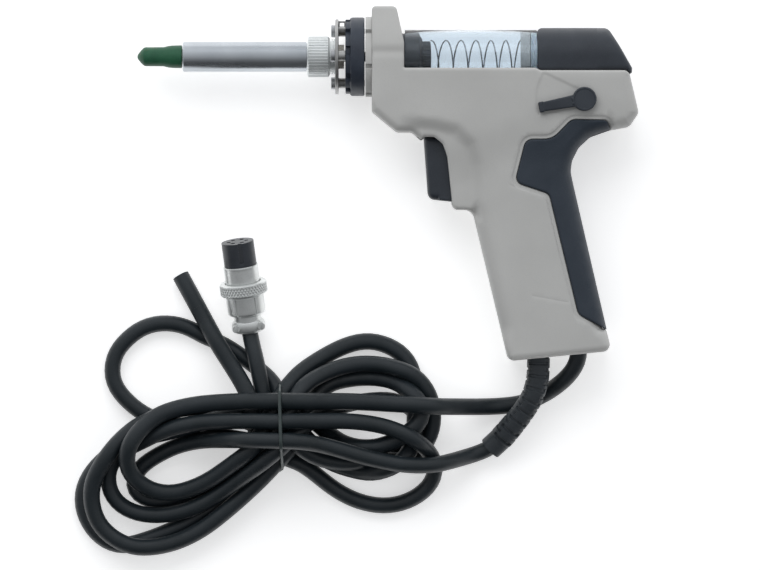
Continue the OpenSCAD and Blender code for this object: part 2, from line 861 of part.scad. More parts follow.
clamp_screw(-1);  // clamp_screw_1
clamp_screw(1);  // clamp_screw_2
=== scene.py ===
"""Looks of an electric desoldering gun that lies on its side, with its lead and hose tied in a hank."""
import json
from math import acos, atan2, ceil, cos, pi, radians, sin, tan

import bmesh
import bpy
import numpy as np
from mathutils import Matrix, Vector
from mathutils.geometry import delaunay_2d_cdt


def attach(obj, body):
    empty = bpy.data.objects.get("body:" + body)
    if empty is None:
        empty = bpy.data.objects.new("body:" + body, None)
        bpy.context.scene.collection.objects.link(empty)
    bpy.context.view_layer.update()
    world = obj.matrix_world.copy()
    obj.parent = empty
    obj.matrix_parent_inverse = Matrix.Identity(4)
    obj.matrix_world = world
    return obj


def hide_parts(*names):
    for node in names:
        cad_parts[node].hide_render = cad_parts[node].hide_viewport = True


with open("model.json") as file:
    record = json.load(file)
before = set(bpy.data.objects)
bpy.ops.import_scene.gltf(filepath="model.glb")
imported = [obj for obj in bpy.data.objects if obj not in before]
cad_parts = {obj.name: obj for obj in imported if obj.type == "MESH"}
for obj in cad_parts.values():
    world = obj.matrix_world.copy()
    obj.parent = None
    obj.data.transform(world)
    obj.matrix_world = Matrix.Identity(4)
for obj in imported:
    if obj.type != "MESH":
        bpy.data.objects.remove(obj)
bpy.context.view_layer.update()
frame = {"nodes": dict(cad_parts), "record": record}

MM = 0.001

# Sizes shared with the CAD model, in millimetres
MID_Z = 17.0
BARREL_Y = 50.8
LEAD_D = 6.5
HOSE_D = 6.8

SLOT_OF = {part["node"]: part["material_slot"] for part in frame["record"]["subparts"]}
BODY_OF = {node: body for body, nodes in frame["record"]["behaviour"]["bodies"].items() for node in nodes}


def link(thing):
    bpy.context.scene.collection.objects.link(thing)


# ---- Camera, light and floor ----

def add_camera():
    """Straight down, with the top of the gun up in the frame."""
    width_seen = 304.0
    middle = (-2.6, -40.5)
    height = 2600.0
    data = bpy.data.cameras.new("camera")
    data.sensor_width = 36.0
    data.lens = data.sensor_width * (height - MID_Z) / width_seen
    data.clip_start = 0.01
    camera = bpy.data.objects.new("camera", data)
    camera.location = (middle[0] * MM, middle[1] * MM, height * MM)
    link(camera)
    bpy.context.scene.camera = camera


def add_softbox(name, place, aim, size, watts):
    data = bpy.data.lights.new(name, "AREA")
    data.shape = "RECTANGLE"
    data.size, data.size_y = size
    data.energy = watts
    lamp = bpy.data.objects.new(name, data)
    lamp.location = place
    lamp.rotation_euler = (Vector(aim) - Vector(place)).to_track_quat("-Z", "Y").to_euler()
    lamp.visible_glossy = False
    link(lamp)


def add_studio():
    """Soft light from all round, stronger from the top of the gun, over a plain white floor."""
    scene = bpy.context.scene
    scene.view_settings.view_transform = "Standard"
    world = bpy.data.worlds.new("studio")
    scene.world = world
    world.use_nodes = True
    nodes, links = world.node_tree.nodes, world.node_tree.links
    coords = nodes.new("ShaderNodeTexCoord")
    parts = nodes.new("ShaderNodeSeparateXYZ")
    links.new(coords.outputs["Generated"], parts.inputs[0])
    ramp = nodes.new("ShaderNodeValToRGB")
    tones = [(0.0, 0.10), (0.16, 0.13), (0.30, 0.30), (0.50, 0.62), (0.68, 0.80), (0.86, 1.15), (1.0, 1.0)]
    blue = 1.03
    red = 0.98
    while len(ramp.color_ramp.elements) < len(tones):
        ramp.color_ramp.elements.new(0.5)
    for element, (place, tone) in zip(ramp.color_ramp.elements, tones):
        element.position = place
        element.color = (tone * red, tone, tone * blue, 1)
    spread = nodes.new("ShaderNodeMapRange")
    spread.inputs["From Min"].default_value = -1.0
    links.new(parts.outputs["Y"], spread.inputs["Value"])
    links.new(spread.outputs["Result"], ramp.inputs["Fac"])
    links.new(ramp.outputs["Color"], nodes["Background"].inputs["Color"])
    nodes["Background"].inputs["Strength"].default_value = 0.75
    add_softbox("key", (-0.2, 0.7, 0.8), (0, 0, 0), (1.0, 0.7), 4.0)
    add_softbox("fill", (0.35, -0.6, 0.9), (0, -0.05, 0), (0.7, 0.7), 1.2)

    just_below = -0.0002
    bpy.ops.mesh.primitive_plane_add(size=6, location=(0, 0, just_below))
    floor = bpy.context.object
    floor.name = "floor"
    paper = bpy.data.materials.new("white_paper")
    paper.use_nodes = True
    shader = paper.node_tree.nodes["Principled BSDF"]
    for socket, value in (("Base Color", (0.9, 0.9, 0.9, 1)), ("Roughness", 0.9), ("Specular IOR Level", 0.1),
                          ("Emission Color", (1, 1, 1, 1)), ("Emission Strength", 0.5)):
        shader.inputs[socket].default_value = value
    floor.data.materials.append(paper)


# ---- Materials ----

class Finish:
    """A node material whose colour, roughness and bump come from noise at the scale of the real surface."""

    def __init__(self, name, rough, metallic=0.0, stretch=(1, 1, 1), **constants):
        self.material = bpy.data.materials.new(name)
        self.material.use_nodes = True
        self.nodes = self.material.node_tree.nodes
        self.links = self.material.node_tree.links
        self.shader = self.nodes["Principled BSDF"]
        self.shader.inputs["Metallic"].default_value = metallic
        for key, value in constants.items():
            self.shader.inputs[key.replace("_", " ")].default_value = value
        coords = self.nodes.new("ShaderNodeTexCoord")
        mapping = self.nodes.new("ShaderNodeMapping")
        mapping.inputs["Scale"].default_value = stretch
        self.links.new(coords.outputs["Object"], mapping.inputs["Vector"])
        self.stretched = mapping.outputs["Vector"]
        self.plain = coords.outputs["Object"]
        self.grain = None
        smudges = self.ranged(self.noise(260, 3, self.stretched), (0.3, 0.7), rough)
        self.links.new(smudges, self.shader.inputs["Roughness"])

    def noise(self, scale, detail, place):
        """scale is in features per metre."""
        node = self.nodes.new("ShaderNodeTexNoise")
        node.inputs["Scale"].default_value = scale
        node.inputs["Detail"].default_value = detail
        self.links.new(place, node.inputs["Vector"])
        return node.outputs["Fac"]

    def ranged(self, value, source, target):
        """The value, moved from the source range to the target range."""
        node = self.nodes.new("ShaderNodeMapRange")
        for key, number in zip(("From Min", "From Max", "To Min", "To Max"), (*source, *target)):
            node.inputs[key].default_value = number
        self.links.new(value, node.inputs["Value"])
        return node.outputs["Result"]

    def colours(self, dark, light, scale, speckle):
        """Colour drifts from dark to light; speckle is a fine second grain."""
        ramp = self.nodes.new("ShaderNodeValToRGB")
        for element, place, tone in zip(ramp.color_ramp.elements, (0.32, 0.68), (dark, light)):
            element.position = place
            element.color = (*tone, 1)
        self.links.new(self.noise(scale, 4, self.plain), ramp.inputs["Fac"])
        colour = ramp.outputs["Color"]
        if speckle:
            node = self.nodes.new("ShaderNodeMix")
            node.data_type = "RGBA"
            node.inputs["B"].default_value = (*speckle, 1)
            dots = self.ranged(self.noise(2600, 1, self.plain), (0.56, 0.70), (0, 0.35))
            self.links.new(dots, node.inputs["Factor"])
            self.links.new(colour, node.inputs["A"])
            colour = node.outputs["Result"]
        self.links.new(colour, self.shader.inputs["Base Color"])

    def bump(self, scale, depth, detail=2):
        """Adds grain: depth is in millimetres."""
        node = self.nodes.new("ShaderNodeBump")
        node.inputs["Distance"].default_value = depth * MM
        node.inputs["Strength"].default_value = 1.0
        self.links.new(self.noise(scale, detail, self.stretched), node.inputs["Height"])
        if self.grain:
            self.links.new(self.grain, node.inputs["Normal"])
        self.grain = node.outputs["Normal"]
        self.links.new(self.grain, self.shader.inputs["Normal"])


def make_finishes():
    """One material for each slot of the record."""
    # Slot, name, roughness, dark and light colour and how fast they drift, speckle, grains, other values
    rows = (
        ("housing_grey", "housing_plastic", (0.42, 0.52), (0.485, 0.485, 0.472), (0.53, 0.53, 0.516), 40,
         (0.44, 0.44, 0.43), ((1900, 0.018, 3), (120, 0.02)), dict(IOR=1.5)),
        ("grip_rubber", "grip_rubber", (0.5, 0.62), (0.02, 0.029, 0.042), (0.03, 0.04, 0.055), 60,
         (0.045, 0.057, 0.072), ((2400, 0.03, 3),), {}),
        ("black_plastic", "black_plastic", (0.36, 0.46), (0.022, 0.027, 0.036), (0.034, 0.041, 0.052), 70,
         (0.05, 0.058, 0.07), ((1800, 0.015, 3),), {}),
        ("insulator_black", "phenolic", (0.34, 0.46), (0.02, 0.026, 0.04), (0.034, 0.044, 0.062), 90,
         (0.055, 0.065, 0.085), ((1400, 0.02, 3),), {}),
        ("switch_button", "switch_button", (0.35, 0.45), (0.3, 0.02, 0.015), (0.38, 0.03, 0.022), 90, None,
         ((1500, 0.01),), {}),
        ("green_silicone", "green_silicone", (0.4, 0.52), (0.01, 0.075, 0.036), (0.02, 0.115, 0.055), 150,
         (0.035, 0.13, 0.07), ((700, 0.03, 3),), dict(Subsurface_Weight=0.05)),
        ("polished_steel", "polished_steel", (0.24, 0.32), (0.5, 0.535, 0.57), (0.6, 0.635, 0.67), 60, None,
         ((1500, 0.004, 4),), dict(metallic=1.0, stretch=(0.06, 1, 1))),
        ("plain_steel", "plain_steel", (0.36, 0.48), (0.42, 0.42, 0.42), (0.54, 0.54, 0.53), 120,
         (0.36, 0.36, 0.36), ((900, 0.01, 3),), dict(metallic=1.0)),
        ("plated_steel", "plated_steel", (0.34, 0.46), (0.8, 0.83, 0.83), (0.9, 0.93, 0.93), 110,
         (0.66, 0.67, 0.67), ((1200, 0.008, 3),), dict(metallic=0.75)),
        ("screw_steel", "screw_steel", (0.26, 0.4), (0.4, 0.41, 0.43), (0.56, 0.57, 0.58), 200,
         (0.32, 0.33, 0.34), ((1500, 0.01, 3),), dict(metallic=1.0)),
        ("spring_steel", "spring_steel", (0.22, 0.32), (0.2, 0.21, 0.23), (0.3, 0.31, 0.33), 200, None,
         ((2000, 0.004),), dict(metallic=1.0)),
        ("ceramic", "ceramic", (0.45, 0.6), (0.66, 0.63, 0.56), (0.76, 0.73, 0.66), 150, None, ((1500, 0.01),),
         {}),
        ("filter_white", "filter_felt", (0.8, 0.95), (0.66, 0.66, 0.64), (0.8, 0.8, 0.78), 600, None,
         ((2500, 0.12, 4),), {}),
        ("seal_silicone", "seal_silicone", (0.38, 0.5), (0.84, 0.88, 0.91), (0.92, 0.95, 0.97), 200, None,
         ((900, 0.015),), dict(Subsurface_Weight=0.2)),
        ("cord_jacket", "cord_jacket", (0.34, 0.46), (0.008, 0.013, 0.016), (0.016, 0.022, 0.027), 55,
         (0.028, 0.035, 0.041), ((1300, 0.02, 3), (150, 0.05)), {}),
        ("hose_rubber", "hose_rubber", (0.36, 0.5), (0.007, 0.012, 0.015), (0.014, 0.02, 0.025), 45,
         (0.027, 0.033, 0.038), ((1100, 0.025, 3), (130, 0.05)), {}),
        ("relief_rubber", "relief_rubber", (0.4, 0.52), (0.024, 0.029, 0.034), (0.036, 0.043, 0.05), 80,
         (0.055, 0.062, 0.07), ((1500, 0.02, 3),), {}),
        ("tie_plastic", "tie_plastic", (0.32, 0.44), (0.024, 0.036, 0.036), (0.04, 0.054, 0.053), 200, None,
         ((1500, 0.01),), {}),
        ("plug_black", "plug_bakelite", (0.3, 0.42), (0.02, 0.024, 0.031), (0.032, 0.037, 0.046), 140,
         (0.05, 0.055, 0.065), ((1600, 0.012, 3),), {}),
        ("plug_contact", "contact_brass", (0.28, 0.4), (0.5, 0.4, 0.22), (0.62, 0.5, 0.28), 300, None,
         ((1500, 0.005),), dict(metallic=1.0)),
        ("plug_nickel", "plug_nickel", (0.28, 0.4), (0.74, 0.76, 0.75), (0.86, 0.88, 0.87), 140,
         (0.6, 0.61, 0.6), ((900, 0.012, 3),), dict(metallic=0.78)),
        ("tube_glass", "tube_glass", (0.02, 0.05), (0.78, 0.845, 0.898), (0.8, 0.862, 0.912), 60, None,
         ((60, 0.01),), dict(IOR=1.47, Transmission_Weight=1.0)),
    )
    made = {}
    for slot, name, rough, dark, light, drift, speckle, grains, others in rows:
        finish = Finish(name, rough, **others)
        finish.colours(dark, light, drift, speckle)
        for grain in grains:
            finish.bump(*grain)
        made[slot] = finish.material
    return made


add_camera()
add_studio()
FINISHES = make_finishes()


# ---- Pieces ----

def add_piece(name, data, nodes, slot=None):
    """A piece in place of the CAD nodes, with the body and, unless one is given, the slot of the first."""
    slot = slot or SLOT_OF[nodes[0]]
    data.materials.append(FINISHES[slot])
    piece = bpy.data.objects.new(name, data)
    link(piece)
    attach(piece, BODY_OF[nodes[0]])
    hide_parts(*nodes)
    return piece


def wire(name, points, thickness, nodes, slot=None, roundness=3, cyclic=False):
    """A round wire or cord through the points, in millimetres."""
    data = bpy.data.curves.new(name, "CURVE")
    data.dimensions = "3D"
    spline = data.splines.new("POLY")
    spline.points.add(len(points) - 1)
    for point, place in zip(spline.points, points):
        point.co = (*(np.asarray(place) * MM), 1)
    spline.use_cyclic_u = cyclic
    data.bevel_depth = thickness / 2 * MM
    data.bevel_resolution = roundness
    data.use_fill_caps = True
    return add_piece(name, data, nodes, slot)


# ---- Cords ----

# Routes of the cords' free stretches, as in the CAD model, in millimetres
RELIEF_ROUTE = [
    (60.8, -65, 17), (60.8, -71, 17), (60.4, -78, 16.4), (58.6, -84.6, 15),
    (55.2, -90.6, 12.6), (50.8, -96.4, 9.8), (46.4, -101.6, 7.2), (41.8, -106, 5.4),
]
LEAD_GUN_ROUTE = [(36.4, -108.2, 4.2), (30.6, -109.9, 4.2), (25.4, -111.2, 6), (20.6, -112.3, 8.4)]
HOSE_GUN_ROUTE = [
    (76.9, -64, 17), (76.9, -70, 16.8), (74.4, -75, 14.6), (69.8, -79.8, 11),
    (63.6, -84.2, 6.6), (55, -88, 3.7), (44, -89.3, 3.5), (34, -89.4, 4),
    (26, -89.2, 6.4), (18.6, -89, 9.4),
]
HOSE_TAIL_ROUTE = [(-67.4, -64.6, 10.6), (-72.3, -55.8, 7), (-75.8, -49.4, 6)]
PLUG_BASE = (-55, -59.3, 6.1)
PLUG_TILT, PLUG_YAW = 12, 7.4
HOSE_CUT = (-82.8, -36.6, 4)
LEAD_PLUG_ROUTE = [(-51.3, -75, 10), (-52.8, -68.6, 9.2), (-54.1, -63.4, 7.2), PLUG_BASE, (-56.5, -47.7, 8.6)]
TIE_X = -42.2

# The hank, in stretches of how firmly the place is held and then x, y and z of point after point. A seen
# stretch stays where it is; a hidden one finds its own room among the others. Heights are where the
# settling starts.
SEEN, HIDDEN = 0.12, 0.01
CORD_STEP = 2.5  # between the points of a settled cord, in millimetres
FREED_AT_START = 3.5  # how many points before the end of its start route a cord comes free
HOSE_HANK = [
    (SEEN,  # over everything to the left, and round the upper left loop
     13, -88.4, 10.6, 5.4, -88.1, 12, -4, -87.6, 13, -14.6, -87.1, 14, -24, -87, 15, -34.6, -86.9, 16,
     -43, -86.9, 16.4, -52, -87, 16, -60.6, -87.1, 15, -67.6, -87.5, 14, -74.6, -88.1, 13, -84.6, -90.1, 13,
     -92.6, -93.3, 14.5, -98.6, -98.5, 16, -102.6, -103.7, 15, -104.2, -109.3, 12, -103.4, -114.5, 10.6,
     -99.4, -119.7, 10.4, -93.8, -122.9, 10.4, -87.4, -124.1, 10.4, -79.4, -122.5, 10.8, -70.6, -118.5, 11,
     -62.6, -112.9, 10.8, -54.6, -107.3, 9.8),
    (HIDDEN, -48, -101.5, 9.4, -43.2, -93.5, 9, -40.2, -85.5, 7),
    (SEEN,  # round the highest right loop
     -37.4, -78.6, 5, -33.4, -74.6, 3.8, -26.6, -70.1, 3.4, -16.6, -64.9, 3.4, -7.4, -62.9, 3.4,
     1.4, -65.1, 3.4, 7, -68.9, 3.4, 10.2, -74.1, 3.4),
    (HIDDEN, 11.6, -81, 3.4, 11.8, -89, 3.4, 11.6, -97, 3.4, 10.4, -104.6, 3.4, 7, -110.4, 3.4),
    (SEEN, 1, -113.8, 3.4, -7, -114.9, 3.4, -14.6, -114.3, 3.4, -22.6, -111.7, 3.4),
    (HIDDEN, -31, -107, 3.4, -38, -102, 3.4, -46, -97, 3.4, -56, -92.4, 3.4, -68, -89.6, 3.4, -79, -89.4, 5,
     -88.6, -91.9, 8),
    (SEEN,  # round the lower left loop
     -98.6, -97.3, 9, -105.8, -102.5, 9, -111.4, -108.5, 9, -114.8, -113.7, 9.2, -117.4, -118.5, 9.2,
     -118.4, -123.3, 9.2, -118.2, -128.5, 9.2, -115.8, -135.7, 9.2, -110.6, -141.3, 9.2, -102.6, -145.3, 9,
     -94.6, -145.7, 6, -84.6, -143.7, 3.8, -74.6, -138.9, 3.4, -64.6, -131.3, 3.4, -54.6, -122.5, 3.4,
     -47.4, -115.3, 3.4),
    (HIDDEN, -42, -108.6, 3.4, -37.4, -101.4, 3.4, -33.4, -93.6, 3.4, -29.8, -86.6, 3.6),
    (SEEN,  # round the inner right loop
     -24, -80.6, 3.6, -15, -78.2, 3.4, -5.8, -77.6, 3.4, 4.6, -79.3, 3.6, 11.2, -84, 6, 14.6, -90, 9,
     13.4, -95.6, 9.4, 9, -99.6, 8, 3.4, -102.9, 5, -4.2, -105.6, 3.6, -11.8, -105.9, 3.4, -18.4, -103.6, 3.4),
    (HIDDEN, -25.4, -99.4, 3.4, -33, -95, 3.4, -42, -92, 3.4, -54, -92.4, 3.4, -68, -95, 3.4, -82, -97.6, 3.4,
     -94, -100.4, 3.4, -105, -105, 3.4),
    (SEEN,  # round the outer left loop, beside and under the one before
     -114.2, -111.3, 3.4, -119.2, -116.9, 3.4, -122, -123.3, 3.4, -122, -129.7, 3.4, -119.4, -136.5, 3.4,
     -113.8, -142.7, 3.4, -106.2, -145.4, 3.4, -98.6, -143.7, 3.4, -90.6, -140.9, 3.4, -82.6, -137.3, 3.4,
     -72.6, -131.7, 3.4, -64.6, -126.5, 3.4),
    (HIDDEN, -57.6, -120.6, 3.4, -51.4, -113.6, 3.4, -48.4, -105.4, 3.4, -49, -96.6, 3.6, -52.4, -88.6, 5.4),
    (SEEN, -57, -81, 8.6, -62, -73, 10.6),
]
LEAD_HANK = [
    (SEEN,  # the lowest of the three top runs, and round under the upper left loop
     13, -112.7, 9.8, 5.4, -112.1, 10, -6.6, -109.7, 10.2, -16.6, -106.9, 11, -26.6, -104.1, 13,
     -34.6, -102.8, 15, -42, -102.5, 16, -50, -102.5, 15.4, -58.6, -102.5, 13.5, -66, -102.6, 11.5,
     -74.6, -102.9, 9, -84.6, -105.3, 5, -92.6, -109.3, 3.4, -98.2, -113, 3.3, -101.4, -117.1, 3.3,
     -102.1, -121.2, 3.3, -99.9, -125, 3.3, -94.4, -127.2, 3.3, -86.6, -126.9, 3.3, -76.6, -123.1, 3.3,
     -66.6, -117.1, 3.3, -56.6, -110.7, 3.3),
    (HIDDEN, -49, -105, 4.4, -43.4, -97.6, 6.6, -39, -89, 8),
    (SEEN,  # round the wide right loop
     -34.4, -81.7, 9, -28, -77.4, 8.6, -20.6, -74.1, 7.6, -14, -72.4, 6, -7.4, -71.9, 5, -1, -72.6, 6,
     5.4, -74.5, 9, 12.8, -79.6, 9.4, 17.6, -86.5, 5, 19, -94.5, 3.4, 17.2, -101.7, 3.4, 12, -108.1, 3.4),
    (HIDDEN, 4.4, -110.6, 3.4, -4, -111.4, 3.4),
    (SEEN, -12.6, -112, 3.4, -20, -111.6, 4.6, -28, -109.6, 7),
    (HIDDEN, -35, -105.4, 8, -40.2, -98.4, 7, -42.6, -90, 4.4),
    (SEEN,  # the single upper left loop
     -44.8, -80.6, 3.4, -49.8, -75.6, 3.4, -59.2, -68.4, 3.3, -66, -63.9, 3.3, -73, -60, 3.3, -81, -57, 3.3,
     -89.8, -55.7, 3.3, -98, -57.6, 3.3, -104.6, -62.5, 3.3, -109, -68, 3.3, -110.4, -73.6, 3.3, -110, -79, 3.3,
     -107.4, -83.7, 3.3, -103, -88.3, 3.3, -97.4, -92.5, 3.3),
    (HIDDEN, -90, -96, 3.3, -80, -98.8, 3.3, -68, -101.2, 3.3, -56, -103.6, 3.3, -45.6, -106.4, 3.3),
    (SEEN,  # the low right loop, then left as the middle top run
     -37.6, -109.6, 3.3, -32.4, -113.3, 3.3, -26.6, -118.1, 3.3, -19.8, -123.3, 3.3, -10.6, -127.7, 3.3,
     -1.4, -129.3, 3.3, 5.4, -128.5, 3.3, 12.6, -125.3, 3.3, 17.8, -120.5, 3.3, 19.8, -115.3, 3.3,
     18.6, -109.3, 6, 13.4, -103.7, 9.6, 6.2, -99.3, 12, -2.6, -96.5, 13, -14.6, -94.9, 14, -24, -94.8, 15,
     -34.6, -94.9, 16, -42, -95, 16.4, -50, -95, 15.8, -58.6, -94.9, 14, -66, -95, 12, -74.6, -95.5, 10.6,
     -84.6, -97.3, 10, -92.6, -100.1, 9.8, -100.2, -103.4, 9.8, -106.6, -107.4, 9.8, -110.4, -111.5, 8,
     -111.8, -116, 5, -111.6, -121.5, 3.4, -109.4, -126.5, 3.3, -103.8, -130.9, 3.3, -95.8, -132.9, 3.3,
     -86.6, -132.5, 4, -76.6, -129.7, 7, -68.6, -125.2, 9, -58.6, -118, 8.4),
    (HIDDEN, -50.6, -111, 8, -43.6, -105, 8, -36, -98.6, 8, -27, -92.6, 6, -17, -88.6, 3.6, -6, -86.6, 3.4,
     4, -86.6, 3.4),
    (SEEN, 11.4, -90, 3.4, 13.2, -95.4, 3.4, 11, -101.2, 3.4, 6, -105.6, 3.4, -1, -108.6, 3.4, -9, -109.4, 3.4,
     -16.6, -107.6, 3.4),
    (HIDDEN, -25, -104.4, 3.4, -34, -104.6, 3.4, -41.6, -102, 3.4, -46.4, -95.6, 3.6, -48.8, -87.6, 5),
    (SEEN, -50.2, -81, 9.4),
]


def runs(line, power=1):
    """How far along the line each of its points is."""
    return np.concatenate([[0], np.cumsum(np.linalg.norm(np.diff(line, axis=0), axis=1) ** power)])


def curve_through(points, spacing):
    """Smooth line through the points, cut into equal steps; also each cut's place in the list of points."""
    p = np.array(points, float)
    p = np.vstack([2 * p[0] - p[1], p, 2 * p[-1] - p[-2]])
    knots = runs(p, 0.5)
    fine, where = [], []
    cuts_each = 24
    for i in range(1, len(p) - 2):
        t0, t1, t2, t3 = knots[i - 1:i + 3]
        t = np.linspace(t1, t2, cuts_each, endpoint=False)[:, None]

        def between(start, end, first, second):
            return (end - t) / (end - start) * first + (t - start) / (end - start) * second

        a1, a2 = between(t0, t1, p[i - 1], p[i]), between(t1, t2, p[i], p[i + 1])
        a3 = between(t2, t3, p[i + 1], p[i + 2])
        fine.append(between(t1, t2, between(t0, t2, a1, a2), between(t1, t3, a2, a3)))
        where.append(i - 1 + np.linspace(0, 1, cuts_each, endpoint=False))
    fine = np.vstack(fine + [p[-2:-1]])
    where = np.concatenate(where + [[len(points) - 1]])
    run = runs(fine)
    cuts = np.linspace(0, run[-1], int(run[-1] / spacing) + 1)
    line = np.column_stack([np.interp(cuts, run, fine[:, k]) for k in range(3)])
    return line, np.interp(cuts, run, where)


def cord_line(start, hank, end):
    """Line of a whole cord: the hank between fixed start and end routes, and how firmly each point is held."""
    points = list(start)
    hold = [1.0] * len(start)
    for held, *places in hank:
        stretch = [places[k:k + 3] for k in range(0, len(places), 3)]
        points += stretch
        hold += [held] * len(stretch)
    points += end
    hold += [1.0] * len(end)
    line, where = curve_through(points, CORD_STEP)
    fixed = (where <= len(start) - FREED_AT_START) | (where >= len(points) - len(end))
    return line, np.interp(where, range(len(hold)), hold), fixed


def near_pairs(p, owner, order):
    """Pairs of points that may touch, leaving out neighbours along one cord."""
    reach, neighbours = 12, 8
    i, j = np.triu_indices(len(p), 1)
    near = (np.abs(p[i, 0] - p[j, 0]) < reach) & (np.abs(p[i, 1] - p[j, 1]) < reach)
    i, j = i[near], j[near]
    apart = (owner[i] != owner[j]) | (np.abs(order[i] - order[j]) > neighbours)
    return i[apart], j[apart]


def smoothed(values, amount, owner):
    """Moves each point towards the middle of its two neighbours on the same cord."""
    out = values.copy()
    inner = (owner[:-2] == owner[2:])
    middle = (values[:-2] + values[2:]) / 2
    out[1:-1][inner] += amount * (middle - values[1:-1])[inner]
    return out


def settle(lines, diameters):
    """Lets the cords sink onto the floor and each other, so that none passes through another."""
    rounds, last_rounds, clearance, sideways, rise = 700, 160, 0.4, 0.6, 0.25
    tie_lift, tie_reach, rounds_per_search = 1.2, 5, 20
    p = np.vstack([line for line, _, _ in lines])
    hold = np.concatenate([h for _, h, _ in lines])
    fixed = np.concatenate([f for _, _, f in lines])
    owner = np.concatenate([np.full(len(line), k) for k, (line, _, _) in enumerate(lines)])
    order = np.arange(len(p))
    radius = np.array(diameters)[owner] / 2
    floor = radius + tie_lift * np.exp(-((p[:, 0] - TIE_X) / tie_reach) ** 2)
    home = p.copy()
    free = (~fixed).astype(float)[:, None]
    for turn in range(rounds):
        if turn % rounds_per_search == 0:
            i, j = near_pairs(p, owner, order)
        away = p[i] - p[j]
        gap = np.linalg.norm(away, axis=1) + 1e-9
        lack = np.maximum(radius[i] + radius[j] + clearance - gap, 0)
        push = away / gap[:, None] * (lack * 0.5)[:, None]
        push[:, :2] *= sideways
        push[:, 2] += rise * lack * np.sign(away[:, 2])
        move = np.zeros_like(p)
        count = np.zeros(len(p))
        for side, sign in ((i, 1), (j, -1)):
            np.add.at(move, side, sign * push)
            np.add.at(count, side, lack > 0)
        p += free * move / np.maximum(1, count * 0.5)[:, None]
        if turn > rounds - last_rounds:
            ease, sink = 0.2, 0.01
            height = smoothed(p[:, 2], 0.3, owner)
        else:
            ease, sink = 0.5, 0.06
            height = smoothed(smoothed(p[:, 2], 0.5, owner), 0.5, owner)
        shift = smoothed(p - home, ease, owner)
        shift[:, :2] *= 1 - hold[:, None]
        moved = home + shift
        moved[:, 2] = height - sink
        p = np.where(fixed[:, None], p, moved)
        p[:, 2] = np.where(fixed, p[:, 2], np.maximum(p[:, 2], floor))
    for _ in range(3):
        p = smoothed(p, 0.5, owner)
    return [p[owner == k] for k in range(len(lines))]


def make_cords():
    lead = cord_line(RELIEF_ROUTE[1:] + LEAD_GUN_ROUTE, LEAD_HANK, LEAD_PLUG_ROUTE)
    hose = cord_line(HOSE_GUN_ROUTE, HOSE_HANK, HOSE_TAIL_ROUTE)
    lead_line, hose_line = settle([lead, hose], [LEAD_D, HOSE_D])
    lead_piece = wire("power_lead", lead_line, LEAD_D, ["power_lead_gun", "power_lead_plug", "cord_hank"],
                      "cord_jacket", 6)
    hose_piece = wire("vacuum_hose", hose_line, HOSE_D, ["vacuum_hose_gun", "vacuum_hose_tail", "cord_hank"],
                      "hose_rubber", 6)
    return lead_piece, hose_piece, lead_line, hose_line


lead_piece, hose_piece, lead_line, hose_line = make_cords()


# ---- Mesh tools: sizes in millimetres ----

BARREL = Matrix.Translation(Vector((0, BARREL_Y, MID_Z)) * MM) @ Matrix.Rotation(radians(90), 4, "Y")
PLUG = (Matrix.Translation(Vector(PLUG_BASE) * MM) @ Matrix.Rotation(radians(PLUG_YAW), 4, "Z")
        @ Matrix.Rotation(radians(PLUG_TILT - 90), 4, "X"))


def finished(mesh, sharp, matrix=None, merge_flats=False):
    """Joins the mesh's loose corners and turns its faces outwards, smooth but for crisp edges."""
    work = bmesh.new()
    work.from_mesh(mesh)
    bmesh.ops.remove_doubles(work, verts=work.verts, dist=2e-6)
    if merge_flats:
        bmesh.ops.dissolve_limit(work, angle_limit=radians(0.5), verts=work.verts, edges=work.edges)
    bmesh.ops.recalc_face_normals(work, faces=work.faces)
    if matrix is not None:
        work.transform(matrix)
    work.to_mesh(mesh)
    work.free()
    mesh.shade_smooth()
    mesh.set_sharp_from_angle(angle=radians(sharp))


def solid(name, verts, faces, node, matrix=None, sharp=32, slot=None):
    """A closed piece with outward faces and crisp edges, in place of a CAD node."""
    mesh = bpy.data.meshes.new(name)
    mesh.from_pydata([tuple(v) for v in np.asarray(verts, float) * MM], [], faces)
    finished(mesh, sharp, matrix)
    return add_piece(name, mesh, [node], slot)


def soften(node, width):
    """A copy of a machined CAD node with smooth round faces and small rounded edges."""
    crisp = 34
    mesh = frame["nodes"][node].data.copy()
    finished(mesh, crisp, merge_flats=True)
    mesh.materials.clear()
    piece = add_piece(node + "_body", mesh, [node])
    bevel = piece.modifiers.new("edges", "BEVEL")
    bevel.width = width * MM
    bevel.segments = 2
    bevel.limit_method = "ANGLE"
    bevel.angle_limit = radians(crisp)
    bevel.use_clamp_overlap = True
    return piece


def rounded(corners, closed=True):
    """Line through the corners (x, y, radius), each replaced by an arc."""
    out = []
    last = len(corners) - 1
    for i, (x, y, r) in enumerate(corners):
        here = np.array((x, y), float)
        if r <= 0 or (not closed and i in (0, last)):
            out.append(here)
            continue
        back = np.array(corners[i - 1][:2], float) - here
        ahead = np.array(corners[(i + 1) % len(corners)][:2], float) - here
        lb, la = np.linalg.norm(back), np.linalg.norm(ahead)
        back, ahead = back / lb, ahead / la
        half = 0.5 * acos(np.clip(back @ ahead, -1, 1))
        if half > 1.565:
            out.append(here)
            continue
        cut = min(r / tan(half), 0.49 * lb, 0.49 * la)
        radius = cut * tan(half)
        centre = here + (back + ahead) / np.linalg.norm(back + ahead) * radius / sin(half)
        a, b = here + back * cut - centre, here + ahead * cut - centre
        turn = atan2(a[0] * b[1] - a[1] * b[0], a @ b)
        for t in np.linspace(0, turn, 7):
            c, s = cos(t), sin(t)
            out.append(centre + np.array((a[0] * c - a[1] * s, a[0] * s + a[1] * c)))
    return np.array(out)


